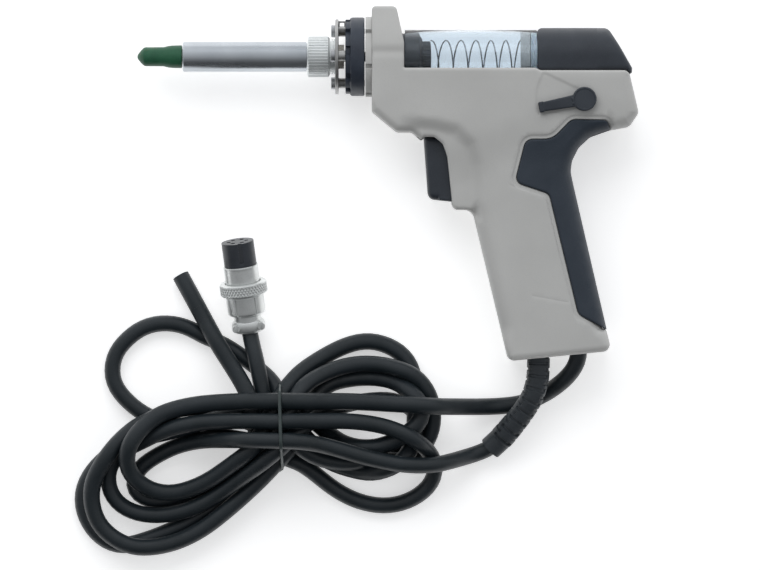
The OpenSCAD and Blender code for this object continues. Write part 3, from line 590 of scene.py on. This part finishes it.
def dense(line, step, closed=True):
    """The line with extra points, so that none of its stretches is longer than step."""
    out = []
    ends = list(line) + ([line[0]] if closed else [])
    for a, b in zip(ends, ends[1:]):
        count = max(1, ceil(np.linalg.norm(b - a) / step - 1e-6))
        out += [a + (b - a) * k / count for k in range(count)]
    if not closed:
        out.append(ends[-1])
    out = np.array(out)
    keep = np.linalg.norm(out - np.roll(out, 1, 0), axis=1) > 0.02
    return out[keep]


def distance(points, line, closed=True):
    """Each point's distance from a line."""
    a = line if closed else line[:-1]
    b = np.roll(line, -1, 0) if closed else line[1:]
    run = b - a
    length2 = np.maximum((run ** 2).sum(1), 1e-12)
    out = np.empty(len(points))
    for k in range(0, len(points), 1500):
        to = points[k:k + 1500, None] - a
        t = np.clip((to * run).sum(2) / length2, 0, 1)
        out[k:k + 1500] = np.sqrt(((to - t[..., None] * run) ** 2).sum(2).min(1))
    return out


def signed(points, line):
    """Distance from a closed line, negative outside it."""
    a, b = line, np.roll(line, -1, 0)
    within = np.zeros(len(points), bool)
    slope = np.where(b[:, 1] == a[:, 1], 1e-9, b[:, 1] - a[:, 1])
    for k in range(0, len(points), 1500):
        x, y = points[k:k + 1500, 0, None], points[k:k + 1500, 1, None]
        left = x < (b[:, 0] - a[:, 0]) * (y - a[:, 1]) / slope + a[:, 0]
        crossing = ((a[:, 1] > y) != (b[:, 1] > y)) & left
        within[k:k + 1500] = crossing.sum(1) % 2 == 1
    return np.where(within, 1, -1) * distance(points, line)


def step(value, low, high):
    """0 below low, 1 above high, and smooth between them."""
    t = np.clip((value - low) / (high - low), 0, 1)
    return t * t * (3 - 2 * t)


def fillet(d, r):
    """How far an edge rounded to radius r has dropped at distance d from it."""
    t = 1 - np.minimum(d, r) / r
    return r * (1 - np.sqrt(np.maximum(1 - t * t, 0)))


def inward(line, closed=True):
    """The direction to the left of a line at each of its points, which is into an anticlockwise one."""
    along = np.roll(line, -1, 0) - np.roll(line, 1, 0) if closed else np.gradient(line, axis=0)
    along /= np.linalg.norm(along, axis=1)[:, None]
    return np.column_stack([-along[:, 1], along[:, 0]])


def beside(line, offsets, closed=True):
    """Points at the given distances beside a line, positive to its left, for detail along it."""
    normal = inward(line, closed)
    out = []
    for offset in offsets:
        moved = line + normal * offset
        out.append(moved[distance(moved, line, closed) > abs(offset) * 0.93 - 1e-6])
    return np.vstack(out)


def clear_of(others, points, gap):
    """The points that are further than gap from each of the others."""
    return points[np.array([np.min(((others - p) ** 2).sum(1)) for p in points]) > gap ** 2]


def relief(name, outline, top, bottom, node, rings, spacing, extra=None, lip=0.0, side=1, sharp=32):
    """A closed piece between two height fields over an outline. top and bottom give heights from the
    parting plane for points and their distances from the outline, and a bottom of None mirrors the top;
    side -1 turns the piece over, and lip is the width of a chamfer round its rim."""
    near = beside(outline, rings)
    low, high = outline.min(0), outline.max(0)
    xs, ys = np.meshgrid(np.arange(low[0], high[0], spacing), np.arange(low[1], high[1], spacing * 0.87))
    xs[1::2] += spacing / 2
    grid = np.column_stack([xs.ravel(), ys.ravel()])
    grid = grid[signed(grid, outline) > max(rings) + 0.45 * spacing]
    if extra is not None:
        extra = extra[signed(extra, outline) > 0.12]
        grid = np.vstack([clear_of(extra, grid, 0.35 * spacing), extra])
        near = clear_of(extra, near, 0.12)
    points = np.vstack([outline, near, grid])
    n = len(outline)
    loop = [(i, (i + 1) % n) for i in range(n)]
    flat, _, faces, origin, _, _ = delaunay_2d_cdt([Vector(p) for p in points], loop, [], 1, 1e-5)
    p = np.array([tuple(v) for v in flat])
    d = distance(p, outline)
    normal = inward(outline)
    inner = p.copy()
    for k, sources in enumerate(origin):
        rim = [s for s in sources if s < n]
        if rim:
            inner[k] += normal[rim[0]] * lip
            d[k] = 0
    count = len(p)
    roof = top(p, d)
    base = bottom(p, d) if bottom else -roof
    verts = np.vstack([
        np.column_stack([p, MID_Z + side * roof]), np.column_stack([inner, MID_Z + side * base]),
    ])
    edges = {}
    for face in faces:
        for a, b in zip(face, list(face[1:]) + [face[0]]):
            edges[a, b] = edges.get((a, b), 0) + 1
    rim = [(a, b) for a, b in edges if (b, a) not in edges]
    polys = [list(f) for f in faces] + [[v + count for v in reversed(f)] for f in faces]
    if lip:
        on_rim = sorted({v for edge in rim for v in edge})
        middle = {v: 2 * count + k for k, v in enumerate(on_rim)}
        verts = np.vstack([verts, np.column_stack([p[on_rim], MID_Z + side * (base[on_rim] + lip)])])
        for a, b in rim:
            polys += [[b, a, middle[a], middle[b]], [middle[b], middle[a], a + count, b + count]]
    else:
        polys += [[b, a, a + count, b + count] for a, b in rim]
    return solid(name, verts, polys, node, sharp=sharp)


def circle(sides):
    """Angles of so many sides."""
    return np.linspace(0, 2 * pi, sides, endpoint=False)


def revolve(name, profile, node, matrix, sides=96, ripple=None, sharp=32, ring=True, slot=None):
    """A turned piece. profile is (distance along the axis, radius); ripple gives the change of radius
    for an array of angles; ring joins the profile's end to its start round a bore."""
    angles = circle(sides)
    verts, rows = [], []
    for z, r in profile:
        if r < 1e-6:
            rows.append([len(verts)] * sides)
            verts.append((0, 0, z))
            continue
        radii = r + (ripple(angles, z, r) if ripple else 0 * angles)
        rows.append(list(range(len(verts), len(verts) + sides)))
        verts += list(zip(radii * np.cos(angles), radii * np.sin(angles), [z] * sides))
    faces = []
    for a, b in zip(rows, rows[1:] + ([rows[0]] if ring else [])):
        for i in range(sides):
            j = (i + 1) % sides
            face = list(dict.fromkeys([a[i], a[j], b[j], b[i]]))
            if len(face) > 2:
                faces.append(face)
    return solid(name, verts, faces, node, matrix, sharp, slot)


def barrel(x):
    """Place on the barrel's axis, with the piece's own axis to the rear."""
    return Matrix.Translation((x * MM, 0, 0)) @ BARREL


def frames_along(line):
    """Two cross directions at each point of a line, without twist."""
    along = np.gradient(line, axis=0)
    along /= np.linalg.norm(along, axis=1)[:, None]
    across = np.cross(along[0], (0, 0, 1.0))
    if np.linalg.norm(across) < 0.1:
        across = np.array((1.0, 0, 0))
    firsts = []
    for t in along:
        across = across - t * (across @ t)
        across /= np.linalg.norm(across)
        firsts.append(across)
    firsts = np.array(firsts)
    return firsts, np.cross(along, firsts)


def sweep(name, line, radius, node, sides, sharp):
    """A solid piece along a line; radius gives the radii for a place along it and an array of angles."""
    u, v = frames_along(line)
    run = runs(line)
    angles = circle(sides)
    verts = [line[0]]
    for k, place in enumerate(line):
        r = radius(run[k], angles)[:, None]
        verts += list(place + r * (np.cos(angles)[:, None] * u[k] + np.sin(angles)[:, None] * v[k]))
    verts.append(line[-1])
    faces = []
    for k in range(len(line) - 1):
        for i in range(sides):
            j = (i + 1) % sides
            a, b = 1 + k * sides, 1 + (k + 1) * sides
            faces.append([a + i, a + j, b + j, b + i])
    end = len(verts) - 1
    for i in range(sides):
        j = (i + 1) % sides
        faces += [[0, 1 + j, 1 + i], [end, end - sides + i, end - sides + j]]
    return solid(name, verts, faces, node, sharp=sharp)


def anticlockwise(line):
    x, y = line.T
    return line if (x * np.roll(y, -1) - y * np.roll(x, -1)).sum() > 0 else line[::-1]


def outline(corners, spacing=0.7):
    """Closed anticlockwise line through rounded corners."""
    return anticlockwise(dense(rounded(corners), spacing))


# ---- Housing and grip ----

SHELL = outline([
    (-5.9, 70.6, 1.5), (-5.9, 28.9, 1.5), (4, 20.7, 3), (10, 20.7, 3), (13.8, 17.4, 0.6), (15.4, 18.6, 1),
    (19, 18.5, 2), (22.4, 15.8, 3), (24.2, 10.6, 3), (26.4, -10.4, 2.5), (34.3, -10.4, 4),
    (48.8, -70.8, 2.5), (89.6, -66.8, 3), (74.4, -1, 8), (73.2, 4.6, 8), (73.8, 9, 6),
    (76.4, 14.2, 6), (81.3, 18.7, 6), (88.4, 21.2, 2), (97, 22.8, 2),
    (100.4, 28, 3), (96.4, 44.9, 3), (61.2, 44.9, 0.6), (59.2, 45.9, 0.6),
    (7, 45.9, 0.5), (7, 56, 3), (5.7, 62, 3), (3.9, 70.6, 2),
], 0.8)
BODY_ZONE = np.array([
    (-9, 80), (-9, 15), (24, 9), (50, 19.5), (71, 19.5), (75.5, 27), (105, 27), (105, 80),
], float)
PAD = outline([
    (73.7, 25.3, 4), (87.7, 25, 2), (90, 19, 0.5), (84, 16.5, 1), (79, 12, 1), (76.5, 7, 1), (76, 3, 1),
    (91, -60, 0.5), (76.4, -52.2, 4), (64.8, -4.2, 3.5), (51.2, 0.4, 3), (55.5, 17.4, 3.5), (66, 17.4, 8),
])
SKIRT = anticlockwise(np.array([
    (-2, 25), (6, 25), (12.3, 24.6), (19.2, 23.9), (28.1, 21.8), (34.3, 15.6), (36.7, 7.4), (37.4, -0.9),
    (37, -9.1),
    (36.8, -14), (-2, -14),
]))
PANEL_LINE = dense(rounded([
    (49.4, -0.9, 0), (62.5, -5.7, 1.5), (64.8, -9.1, 1.5), (72.8, -47.6, 0.8), (58.4, -44.9, 0),
], closed=False), 0.6, closed=False)
HUB = np.array((78.6, 33.4))
LEVER_REST, LEVER_SWEEP, FAN_R = 190.8, 36.0, 19.2
PAD_T = 1.6


def fan_line():
    """Edge of the shallow recess that the release lever sweeps over."""
    out = []
    for angle in np.arange(0, 360, 1.2):
        past = abs((angle - (LEVER_REST - LEVER_SWEEP / 2) + 180) % 360 - 180) - LEVER_SWEEP / 2
        reach = FAN_R
        if past > 0:
            reach = 4.2 if past >= 90 else min(FAN_R, max(4.2, 2.8 / sin(radians(past))))
        out.append(HUB + reach * np.array((cos(radians(angle)), sin(radians(angle)))))
    return dense(np.array(out), 0.6)


FAN = anticlockwise(fan_line())
SHELL_KERNEL = SHELL + inward(SHELL) * (np.clip(signed(SHELL, PAD) / 0.4, 0, 1) * (PAD_T - 0.1))[:, None]


def shell_height(p, d):
    """Half thickness of the gun's outer form, before pads, groove and fan are cut into it."""
    x, y = p.T
    body = signed(p, BODY_ZONE)
    half = 15 + 2 * step(body, -12, 8)
    half = half - 2.8 * step(signed(p, SKIRT), -2.5, 3.5) * step(x, 2, 15)
    half = half - 5 * step(y, 53.5, 76) - 0.5 * np.exp(-((y - 52.3) / 1.7) ** 2)
    edge = 6.3 - 3.3 * step(body, -10, 7)
    edge = edge + (2.6 - edge) * step(-y, 56, 66)
    edge = edge + (1.1 - edge) * np.maximum(step(y, 42, 45), step(-x, 1, 4) * step(y, 29, 33))
    edge = edge + (1.4 - edge) * step(signed(p, SKIRT), 1, 4) * step(x, 12, 16)
    return half - fillet(d, edge)


def housing_top(p, d):
    half = shell_height(p, np.minimum(d, 50))
    q = signed(p, PAD)
    half = half - np.where(q > 0.02, PAD_T - 0.05, 0.5 * step(q, -2.1, -1.4) + 0.45 * step(q, -0.4, -0.15))
    half = half - 0.4 * step(signed(p, FAN), -0.7, 0.7)
    return half - 0.10 * np.exp(-(distance(p, PANEL_LINE, False) / 0.35) ** 2)


def housing_inside(p, d):
    """Height of the hollow: nothing on the rim, then the wall's thickness below the outer face."""
    x, y = p.T
    half = housing_top(p, d)
    solid = (x < 61.5) & (y > 37.2)
    room = np.where(solid, 0, step(d, 2.4, 2.7) * (half - 2.4))
    across = np.abs(y - BARREL_Y)
    trough = np.where(x > 6.8, np.sqrt(np.maximum(11.1 ** 2 - across ** 2, 0)), 0)
    mouth = np.where(x < 7.2, np.sqrt(np.maximum(9.7 ** 2 - across ** 2, 0)), 0)
    room = np.maximum(room, np.maximum(trough, mouth))
    room = np.maximum(room, np.where((x > 69.5) & (x < 89.8) & (y > 36), 4.3, 0))
    trigger = (x > 12) & (x < 34.6) & (y > -8.2) & (y < 18.9)
    room = np.maximum(room, np.where(trigger, 8.4, 0))
    for centre, r in ((60.8, 4.7), (76.9, 3.5)):
        room = np.maximum(room, np.where(y < -58, np.sqrt(np.maximum(r ** 2 - (x - centre) ** 2, 0)), 0))
    return np.minimum(np.maximum(room, 0), half - 0.9)


def pad_outline():
    """The part of the pad's shape that lies on the shell, a little proud of the shell's edge."""
    def within(line, other):
        inside = signed(line, other) > 0
        start = int(np.argmax(inside & ~np.roll(inside, 1)))
        return np.roll(line, -start, 0)[np.roll(inside, -start)]

    skin = SHELL - inward(SHELL) * 0.12
    chain = within(PAD, skin)
    return chain, dense(np.vstack([chain, within(skin, PAD)]), 0.8)


PAD_INNER, PAD_SHAPE = pad_outline()


def pad_top(p, d):
    from_shell = np.maximum(signed(p, SHELL), 0)
    return shell_height(p, from_shell + 0.02) + 0.3 - fillet(distance(p, PAD_INNER, False), 0.7)


def pad_bottom(p, d):
    from_shell = signed(p, SHELL)
    under = np.maximum(shell_height(p, np.maximum(from_shell, 0)) - PAD_T + 0.1, 0)
    return np.where(from_shell < PAD_T - 0.35, 0, under)


def make_housing():
    detail = np.vstack([
        beside(PAD, (-2.1, -1.75, -1.4, -0.9, -0.4, -0.15, 0.03, 0.25)),
        beside(FAN, (-0.75, -0.4, 0.0, 0.4, 0.75, 1.2)),
        beside(PANEL_LINE, (-0.5, -0.22, 0, 0.22, 0.5), closed=False),
    ])
    rings = (0.1, 0.35, 0.8, 1.4, 2.3, 2.75, 3.6, 4.8, 6.3)
    for half, side in (("left", 1), ("right", -1)):
        relief("housing_shell_" + half, SHELL_KERNEL, housing_top, housing_inside, "housing_" + half, rings,
               1.5, detail, lip=0.28, side=side, sharp=38)
        relief("grip_skin_" + half, PAD_SHAPE, pad_top, pad_bottom, "grip_pad_" + half,
               (0.12, 0.3, 0.6, 1.0, 1.6, 2.4, 3.4, 4.8), 1.6, lip=0.2, side=side, sharp=38)
    for i in range(1, 6):
        soften("housing_screw_%d" % i, 0.15)


# ---- Controls and rear cap ----

def make_controls():
    shoe = outline([
        (14.8, 18.5, 0.5), (16.6, -6.2, 3), (30.5, -7.6, 1), (30.5, 16, 3), (24, 18.4, 2), (18.6, 18.7, 1),
    ])

    def trigger_side(p, d):
        return 8 - fillet(d, np.where(p[:, 0] < 21, 2.6, 0.6))

    relief("trigger_shoe", shoe, trigger_side, None, "trigger", (0.08, 0.25, 0.6, 1.1, 1.8, 2.6), 1.5)

    turn = radians(LEVER_REST)
    along, across = np.array((cos(turn), sin(turn))), np.array((-sin(turn), cos(turn)))
    hub_r = 4.8
    local = [(hub_r * cos(a), hub_r * sin(a), 0) for a in np.radians(np.arange(30, 331, 6))]
    local += [(16.4, -1.9, 0.2), (16.6, -2.15, 0.2), (18.4, -2.1, 0.5)]
    local += [(18.4, 2.1, 0.5), (16.6, 2.15, 0.2), (16.4, 1.9, 0.2)]
    lever_shape = np.array([(HUB + x * along + y * across) for x, y in rounded(local)])
    lever_shape = anticlockwise(dense(lever_shape, 0.5))

    def lever_face(p, d):
        u, v = (p - HUB) @ along, (p - HUB) @ across
        r = np.hypot(u, v)
        hub = 20.0 - 0.25 * step(-r, -4.1, -3.9)
        stem = 19.5 + 0.35 * step(u, 16.4, 16.7)
        return np.where(r < hub_r + 0.05, hub, stem) - fillet(d, 0.55)

    hub_rings = HUB + np.array([
        (r * cos(a), r * sin(a)) for r in (2.5, 3.9, 4.1, 4.4) for a in np.linspace(0, 6.283, 48)[:-1]
    ])
    relief("lever_knob", lever_shape, lever_face, lambda p, d: 0 * d + 16.75, "release_lever",
           (0.08, 0.25, 0.5, 0.75), 0.7, hub_rings)

    cap_shape = outline([
        (60.1, 45.1, 1.5), (95.9, 45.1, 0.3), (96.9, 43.8, 0.4), (97.8, 44.1, 0.3), (97.9, 46, 1), (92.9, 54.9, 10),
        (88.4, 62.3, 3), (60.1, 62.3, 2.2),
    ])

    def cap_side(p, d):
        x, y = p.T
        round_top = np.sqrt(np.maximum(11.6 ** 2 - np.maximum(y - BARREL_Y, 0) ** 2, 0.5))
        return np.maximum(round_top - fillet(d, np.where(x > 84, 2.0, np.where(y > 58, 0.5, 1.2))), 0.3)

    top_rows = np.array([(x, y) for y in (59.6, 60.4, 61.0, 61.4, 61.8, 62.05) for x in np.arange(61, 90, 0.8)])
    relief("tube_cap", cap_shape, cap_side, None, "rear_cap",
           (0.08, 0.25, 0.6, 1.1, 1.6, 2.2), 1.5, top_rows)
    tongue = outline([(70, 38, 1), (84, 38, 1), (84, 46, 0.3), (70, 46, 0.3)], 0.8)
    relief("cap_tongue", tongue, lambda p, d: 4 - fillet(d, 0.5), None, "rear_cap", (0.1, 0.3, 0.6), 1.5)


# ---- Barrel and tube ----

def grooves(count, depth, width, start=-1e9, end=1e9):
    """Straight ribs along the axis, cut between start and end."""
    def ripple(angles, z, r):
        if not start <= z <= end:
            return 0 * angles
        phase = (angles * count / (2 * pi)) % 1
        return -depth * (1 - step(np.abs(phase - 0.5), width / 2, width / 2 + 0.12))
    return ripple


def notches(places, half_width, depth, start, end):
    """Square notches at the given angles, cut between start and end."""
    def ripple(angles, z, r):
        cut = 0 * angles
        if start <= z <= end:
            for place in places:
                off = np.abs((angles - radians(place) + pi) % (2 * pi) - pi)
                cut = np.where(off * r < half_width, -depth, cut)
        return cut
    return ripple


def make_barrel():
    revolve("nozzle_cap", [
        (0, 0), (0, 0.4), (0.12, 0.85), (1.4, 2.5), (2.4, 3.45), (2.8, 3.7), (3.5, 3.82), (10.5, 3.85), (11.5, 4.1),
        (12.5, 4.35), (14, 4.5), (17.5, 4.6), (17.75, 4.5), (17.8, 4.3), (17.8, 3.4), (10.6, 3.3), (3, 1.9), (3, 0),
    ], "tip_cap", barrel(-99.6), 80, sharp=50, ring=False)
    revolve("sleeve_tube", [
        (0, 4.1), (0, 5.3), (0.1, 5.62), (0.3, 5.86), (0.6, 6), (49.5, 6), (49.5, 5.4), (54, 5.4), (54, 5.0),
        (48.8, 5.0), (48.8, 5.4), (0.8, 5.4), (0.8, 4.1),
    ], "heater_sleeve", barrel(-81.5), 128)
    revolve("nut_body", [
        (0.0, 5.5), (0.0, 7.3), (0.35, 7.75), (0.5, 8.0), (0.62, 8.15), (0.8, 8.15), (8.2, 8.15), (8.38, 8.15),
        (8.5, 8.0), (8.65, 7.75), (9.0, 7.3), (9.0, 7.0), (3.2, 7.0), (3.2, 5.5),
    ], "knurled_nut", barrel(-31.7), 40 * 8, grooves(40, 0.42, 0.3, 0.55, 8.45))
    revolve("collar_body", [
        (0.3, 5), (0.3, 6.9), (4.2, 6.9), (4.2, 6.2), (4.6, 6.2), (4.6, 7), (5.2, 7), (5.2, 6.4), (5.6, 6.4),
        (5.6, 7), (6.1, 7), (6.1, 5),
    ], "heater_collar", barrel(-26.6), 96)
    revolve("disc_body", [
        (0, 5.4), (0, 14.75), (0.1, 14.93), (0.25, 15), (1.05, 15), (1.2, 14.93), (1.3, 14.75), (1.3, 5.4),
    ], "mount_disc", barrel(-20.5), 128, slot="plain_steel")
    for i in (1, 2, 3):
        soften("flange_screw_%d" % i, 0.45)
        soften("standoff_%d" % i, 0.12)
    soften("earth_clip", 0.15)
    lip = notches((8, 40, 75, 105, 140, 172, 215, 245, 295, 325), 1.6, 1.5, -0.1, 1.85)
    revolve("insulator_body", [
        (0, 6.2), (0, 14.7), (0.15, 14.85), (1.8, 14.85), (1.81, 15.1), (2.1, 15.45), (2.6, 15.72), (6.9, 15.75),
        (7.3, 15.65), (7.6, 15.4), (7.6, 6.2),
    ], "insulator_ring", barrel(-16.4), 360, lip)
    revolve("front_flange", [
        (0, 9.7), (0, 15.85), (0.15, 16), (2.35, 16), (2.5, 15.9), (2.5, 9.7),
    ], "front_plate", barrel(-8.4), 360,
            notches((20, 80, 143, 196, 250, 305), 1.0, 1.7, -1, 3))
    soften("nozzle", 0.1)

    revolve("tube_holder", [
        (0, 0), (0, 9.4), (12.3, 9.4), (12.5, 9.3), (13.2, 9.3), (13.4, 9.9), (18.9, 9.9), (19.2, 9.7), (19.4, 9.0),
        (20.6, 7.5), (20.7, 6.4), (20.9, 6.2), (23.8, 6.2), (24, 6.0), (24, 0),
    ], "front_holder", barrel(-5.9), 240, grooves(36, 0.22, 0.25, 19.3, 30), ring=False)
    revolve("tube_wall", [
        (0, 10.05), (0, 10.7), (0.12, 10.8), (52.68, 10.8), (52.8, 10.7), (52.8, 10.05), (52.7, 10), (0.1, 10),
    ], "glass_tube", barrel(7.3), 160)
    turns = np.linspace(0, 6 * 2 * pi, 6 * 48 + 1)
    wire("tube_coil", [
        (18.4 + 34.4 * t / turns[-1] + 0.8 * sin(t), BARREL_Y + 6.5 * cos(t), MID_Z + 6.5 * sin(t))
        for t in turns
    ], 0.55, ["tube_spring"])
    revolve("seal_body", [
        (0, 2), (0, 9.3), (0.3, 9.7), (0.9, 9.85), (1.3, 9.55), (1.7, 9.85), (2.79, 9.85), (2.8, 10.2), (3.1, 10.55),
        (3.8, 10.6), (4.1, 10.4), (4.1, 2),
    ], "rear_seal", barrel(57.4), 96)


# ---- Strain relief, hose end, tie and plug ----

def make_cord_ends():
    line = curve_through(RELIEF_ROUTE, 0.35)[0]
    line = np.vstack([line[0] + np.outer(np.linspace(0, 2.4, 7)[::-1], (0, 1.0, 0)), line[1:]])
    total = runs(line)[-1]
    pitch = 5.0

    def rib_radius(s, angles):
        """Blocks with square shoulders, cut by grooves that alternate between two pairs of sides."""
        if s < 2.9:
            return 6.2 + 0 * angles
        if s < 6:
            return 4.3 + 0 * angles
        end = s > total - 6.2
        base = 4.75 + 0.35 * step(np.array(s), total - 24, total - 7)
        if end:
            base = 4.9
        square = np.maximum(np.abs(np.cos(angles)), np.abs(np.sin(angles)))
        radii = base * (0.965 + 0.06 * (1 - square) / 0.29)
        if not end:
            for parity in (0, 1):
                phase = ((s - 6 + parity * pitch / 2) / pitch) % 1
                if phase < 0.22:
                    sides = np.abs(np.cos(angles)) if parity == 0 else np.abs(np.sin(angles))
                    radii = np.where(sides > 0.62, 4.2, radii)
        return radii

    boot = sweep("strain_boot", line, rib_radius, "strain_relief", 64, sharp=40)

    start, cut = np.array(HOSE_TAIL_ROUTE[-1]), np.array(HOSE_CUT)
    run = cut - start
    place = Matrix.Translation(Vector(start) * MM) @ Vector(run).to_track_quat("Z", "Y").to_matrix().to_4x4()
    length = np.linalg.norm(run)
    mouth = revolve("hose_mouth", [
        (-0.4, 2.0), (-0.4, 3.4), (length - 0.25, 3.4), (length - 0.05, 3.3), (length, 3.15), (length, 2.15),
        (length - 0.2, 2.0),
    ], "hose_end", place, 48)
    return boot, mouth


def hull_of(points):
    """Corners of the convex outline round a set of points in a plane."""
    points = sorted(map(tuple, points))
    halves = []
    for order in (points, points[::-1]):
        chain = []
        for p in order:
            while len(chain) > 1 and ((chain[-1][0] - chain[-2][0]) * (p[1] - chain[-2][1])
                                      - (chain[-1][1] - chain[-2][1]) * (p[0] - chain[-2][0])) <= 0:
                chain.pop()
            chain.append(p)
        halves.append(chain[:-1])
    return np.array(halves[0] + halves[1])


def make_tie(lines):
    """A plastic-covered wire round the bundle, its ends twisted together underneath."""
    turn = circle(40)
    rims = []
    for line, diameter in zip(lines, (LEAD_D, HOSE_D)):
        for a, b in zip(line, line[1:]):
            if (a[0] - TIE_X) * (b[0] - TIE_X) <= 0 and abs(b[0] - a[0]) > 1e-6:
                y, z = (a + (b - a) * (TIE_X - a[0]) / (b[0] - a[0]))[1:]
                r = diameter / 2 + 0.5
                rims.append(np.column_stack([y + r * np.cos(turn), np.maximum(z + r * np.sin(turn), 0.55)]))
    edge = dense(hull_of(np.vstack(rims)), 1.0)
    y = edge[:, 0]
    lean = -0.4 * np.sin((y - y.mean()) / np.ptp(y) * pi) * step(edge[:, 1], 2, 8)
    band = wire("tie_band", np.column_stack([TIE_X + lean, edge]), 1.4, ["hank_tie"], cyclic=True)
    foot = np.array((TIE_X, y.min() + 0.3, 2.6))
    tails = []
    for k, phase in enumerate((0, pi)):
        t = np.linspace(0, 1, 40)
        tails.append(wire("tie_tail_%d" % (k + 1), np.column_stack([
            foot[0] - 2.6 * t * t + 0.5 * np.cos(phase + 9 * t), foot[1] - 3.6 * t + 1.6 * t * t,
            foot[2] + 0.5 * np.sin(phase + 9 * t) - 1.3 * t]), 1.2, ["hank_tie"]))
    return band, tails


def make_plug():
    def diamonds(angles, z, r):
        if r < 9 or not 0.7 < z < 4.3:
            return 0 * angles
        a, b = angles * 44 + z * 3.2, angles * 44 - z * 3.2
        return -0.32 * np.maximum(np.abs(np.sin(a / 2)) ** 6, np.abs(np.sin(b / 2)) ** 6)

    knurl_rows = [(0.75 + 0.145 * k, 9.5) for k in range(25)]
    made = [revolve("ring_knurled", [
        (0, 7.3), (0, 8.9), (0.15, 9.25), (0.45, 9.46), (0.65, 9.5), *knurl_rows, (4.35, 9.5), (4.55, 9.46),
        (4.85, 9.25), (5, 8.9), (5, 7.3), (3, 7.3), (3, 8), (2, 8), (2, 7.3),
    ], "coupling_ring", PLUG @ Matrix.Translation((0, 0, 15.8 * MM)), 352, diamonds)]
    made.append(revolve("plug_barrel", [
        (11.5, 6.1), (11.5, 6.95), (26.3, 6.95), (26.6, 6.97), (26.8, 7.02), (27.2, 7.04),
        (27.5, 7.02), (27.6, 6.95), (27.6, 6.1),
    ], "plug_sleeve", PLUG))

    def facets(angles, z, r):
        phase = (angles / (pi / 3) + 0.5) % 1
        slot = np.where(np.abs(phase - 0.5) * pi / 3 * r < 0.28, -0.5, 0)
        return slot if 8.3 < z < 14.9 else 0 * angles

    made.append(revolve("plug_housing", [
        (4.6, 3.4), (4.6, 5.2), (4.8, 5.4), (6.9, 5.4), (7.1, 5.9), (7.6, 6.9), (8.2, 7.45), (8.31, 7.5), (8.9, 7.6),
        (14.8, 7.6), (14.95, 7.6), (15.2, 7.55), (15.5, 7.35), (15.5, 6.95), (9.1, 6.95), (9.1, 3.4),
    ], "plug_shell", PLUG, 360, facets))
    made.append(soften("plug_insert", 0.25))

    def ears(angles, z, r):
        return -(r - 3.3) * 0.3 * np.abs(np.sin(angles)) ** 1.5

    made.append(revolve("clamp_saddle", [
        (0, 3.3), (0, 4.8), (0.25, 5.4), (0.7, 6), (1.4, 6.45), (2.3, 6.75), (3.3, 6.8), (4.2, 6.55), (4.9, 6.1),
        (5.3, 5.5), (5.5, 4.9), (5.5, 3.3),
    ], "cable_clamp", PLUG, 96, ears))
    for i in (1, 2):
        made.append(soften("clamp_screw_%d" % i, 0.2))
    return made


make_housing()
make_controls()
make_barrel()
boot, mouth = make_cord_ends()
tie_band, tie_tails = make_tie([lead_line, hose_line])
plug_pieces = make_plug()

with_plug = plug_pieces + [frame["nodes"]["plug_contacts"], frame["nodes"]["ring_clip"]]
with_plug += [boot, tie_band] + tie_tails

for node, piece in frame["nodes"].items():
    piece.data.materials.clear()
    piece.data.materials.append(FINISHES[SLOT_OF[node]])
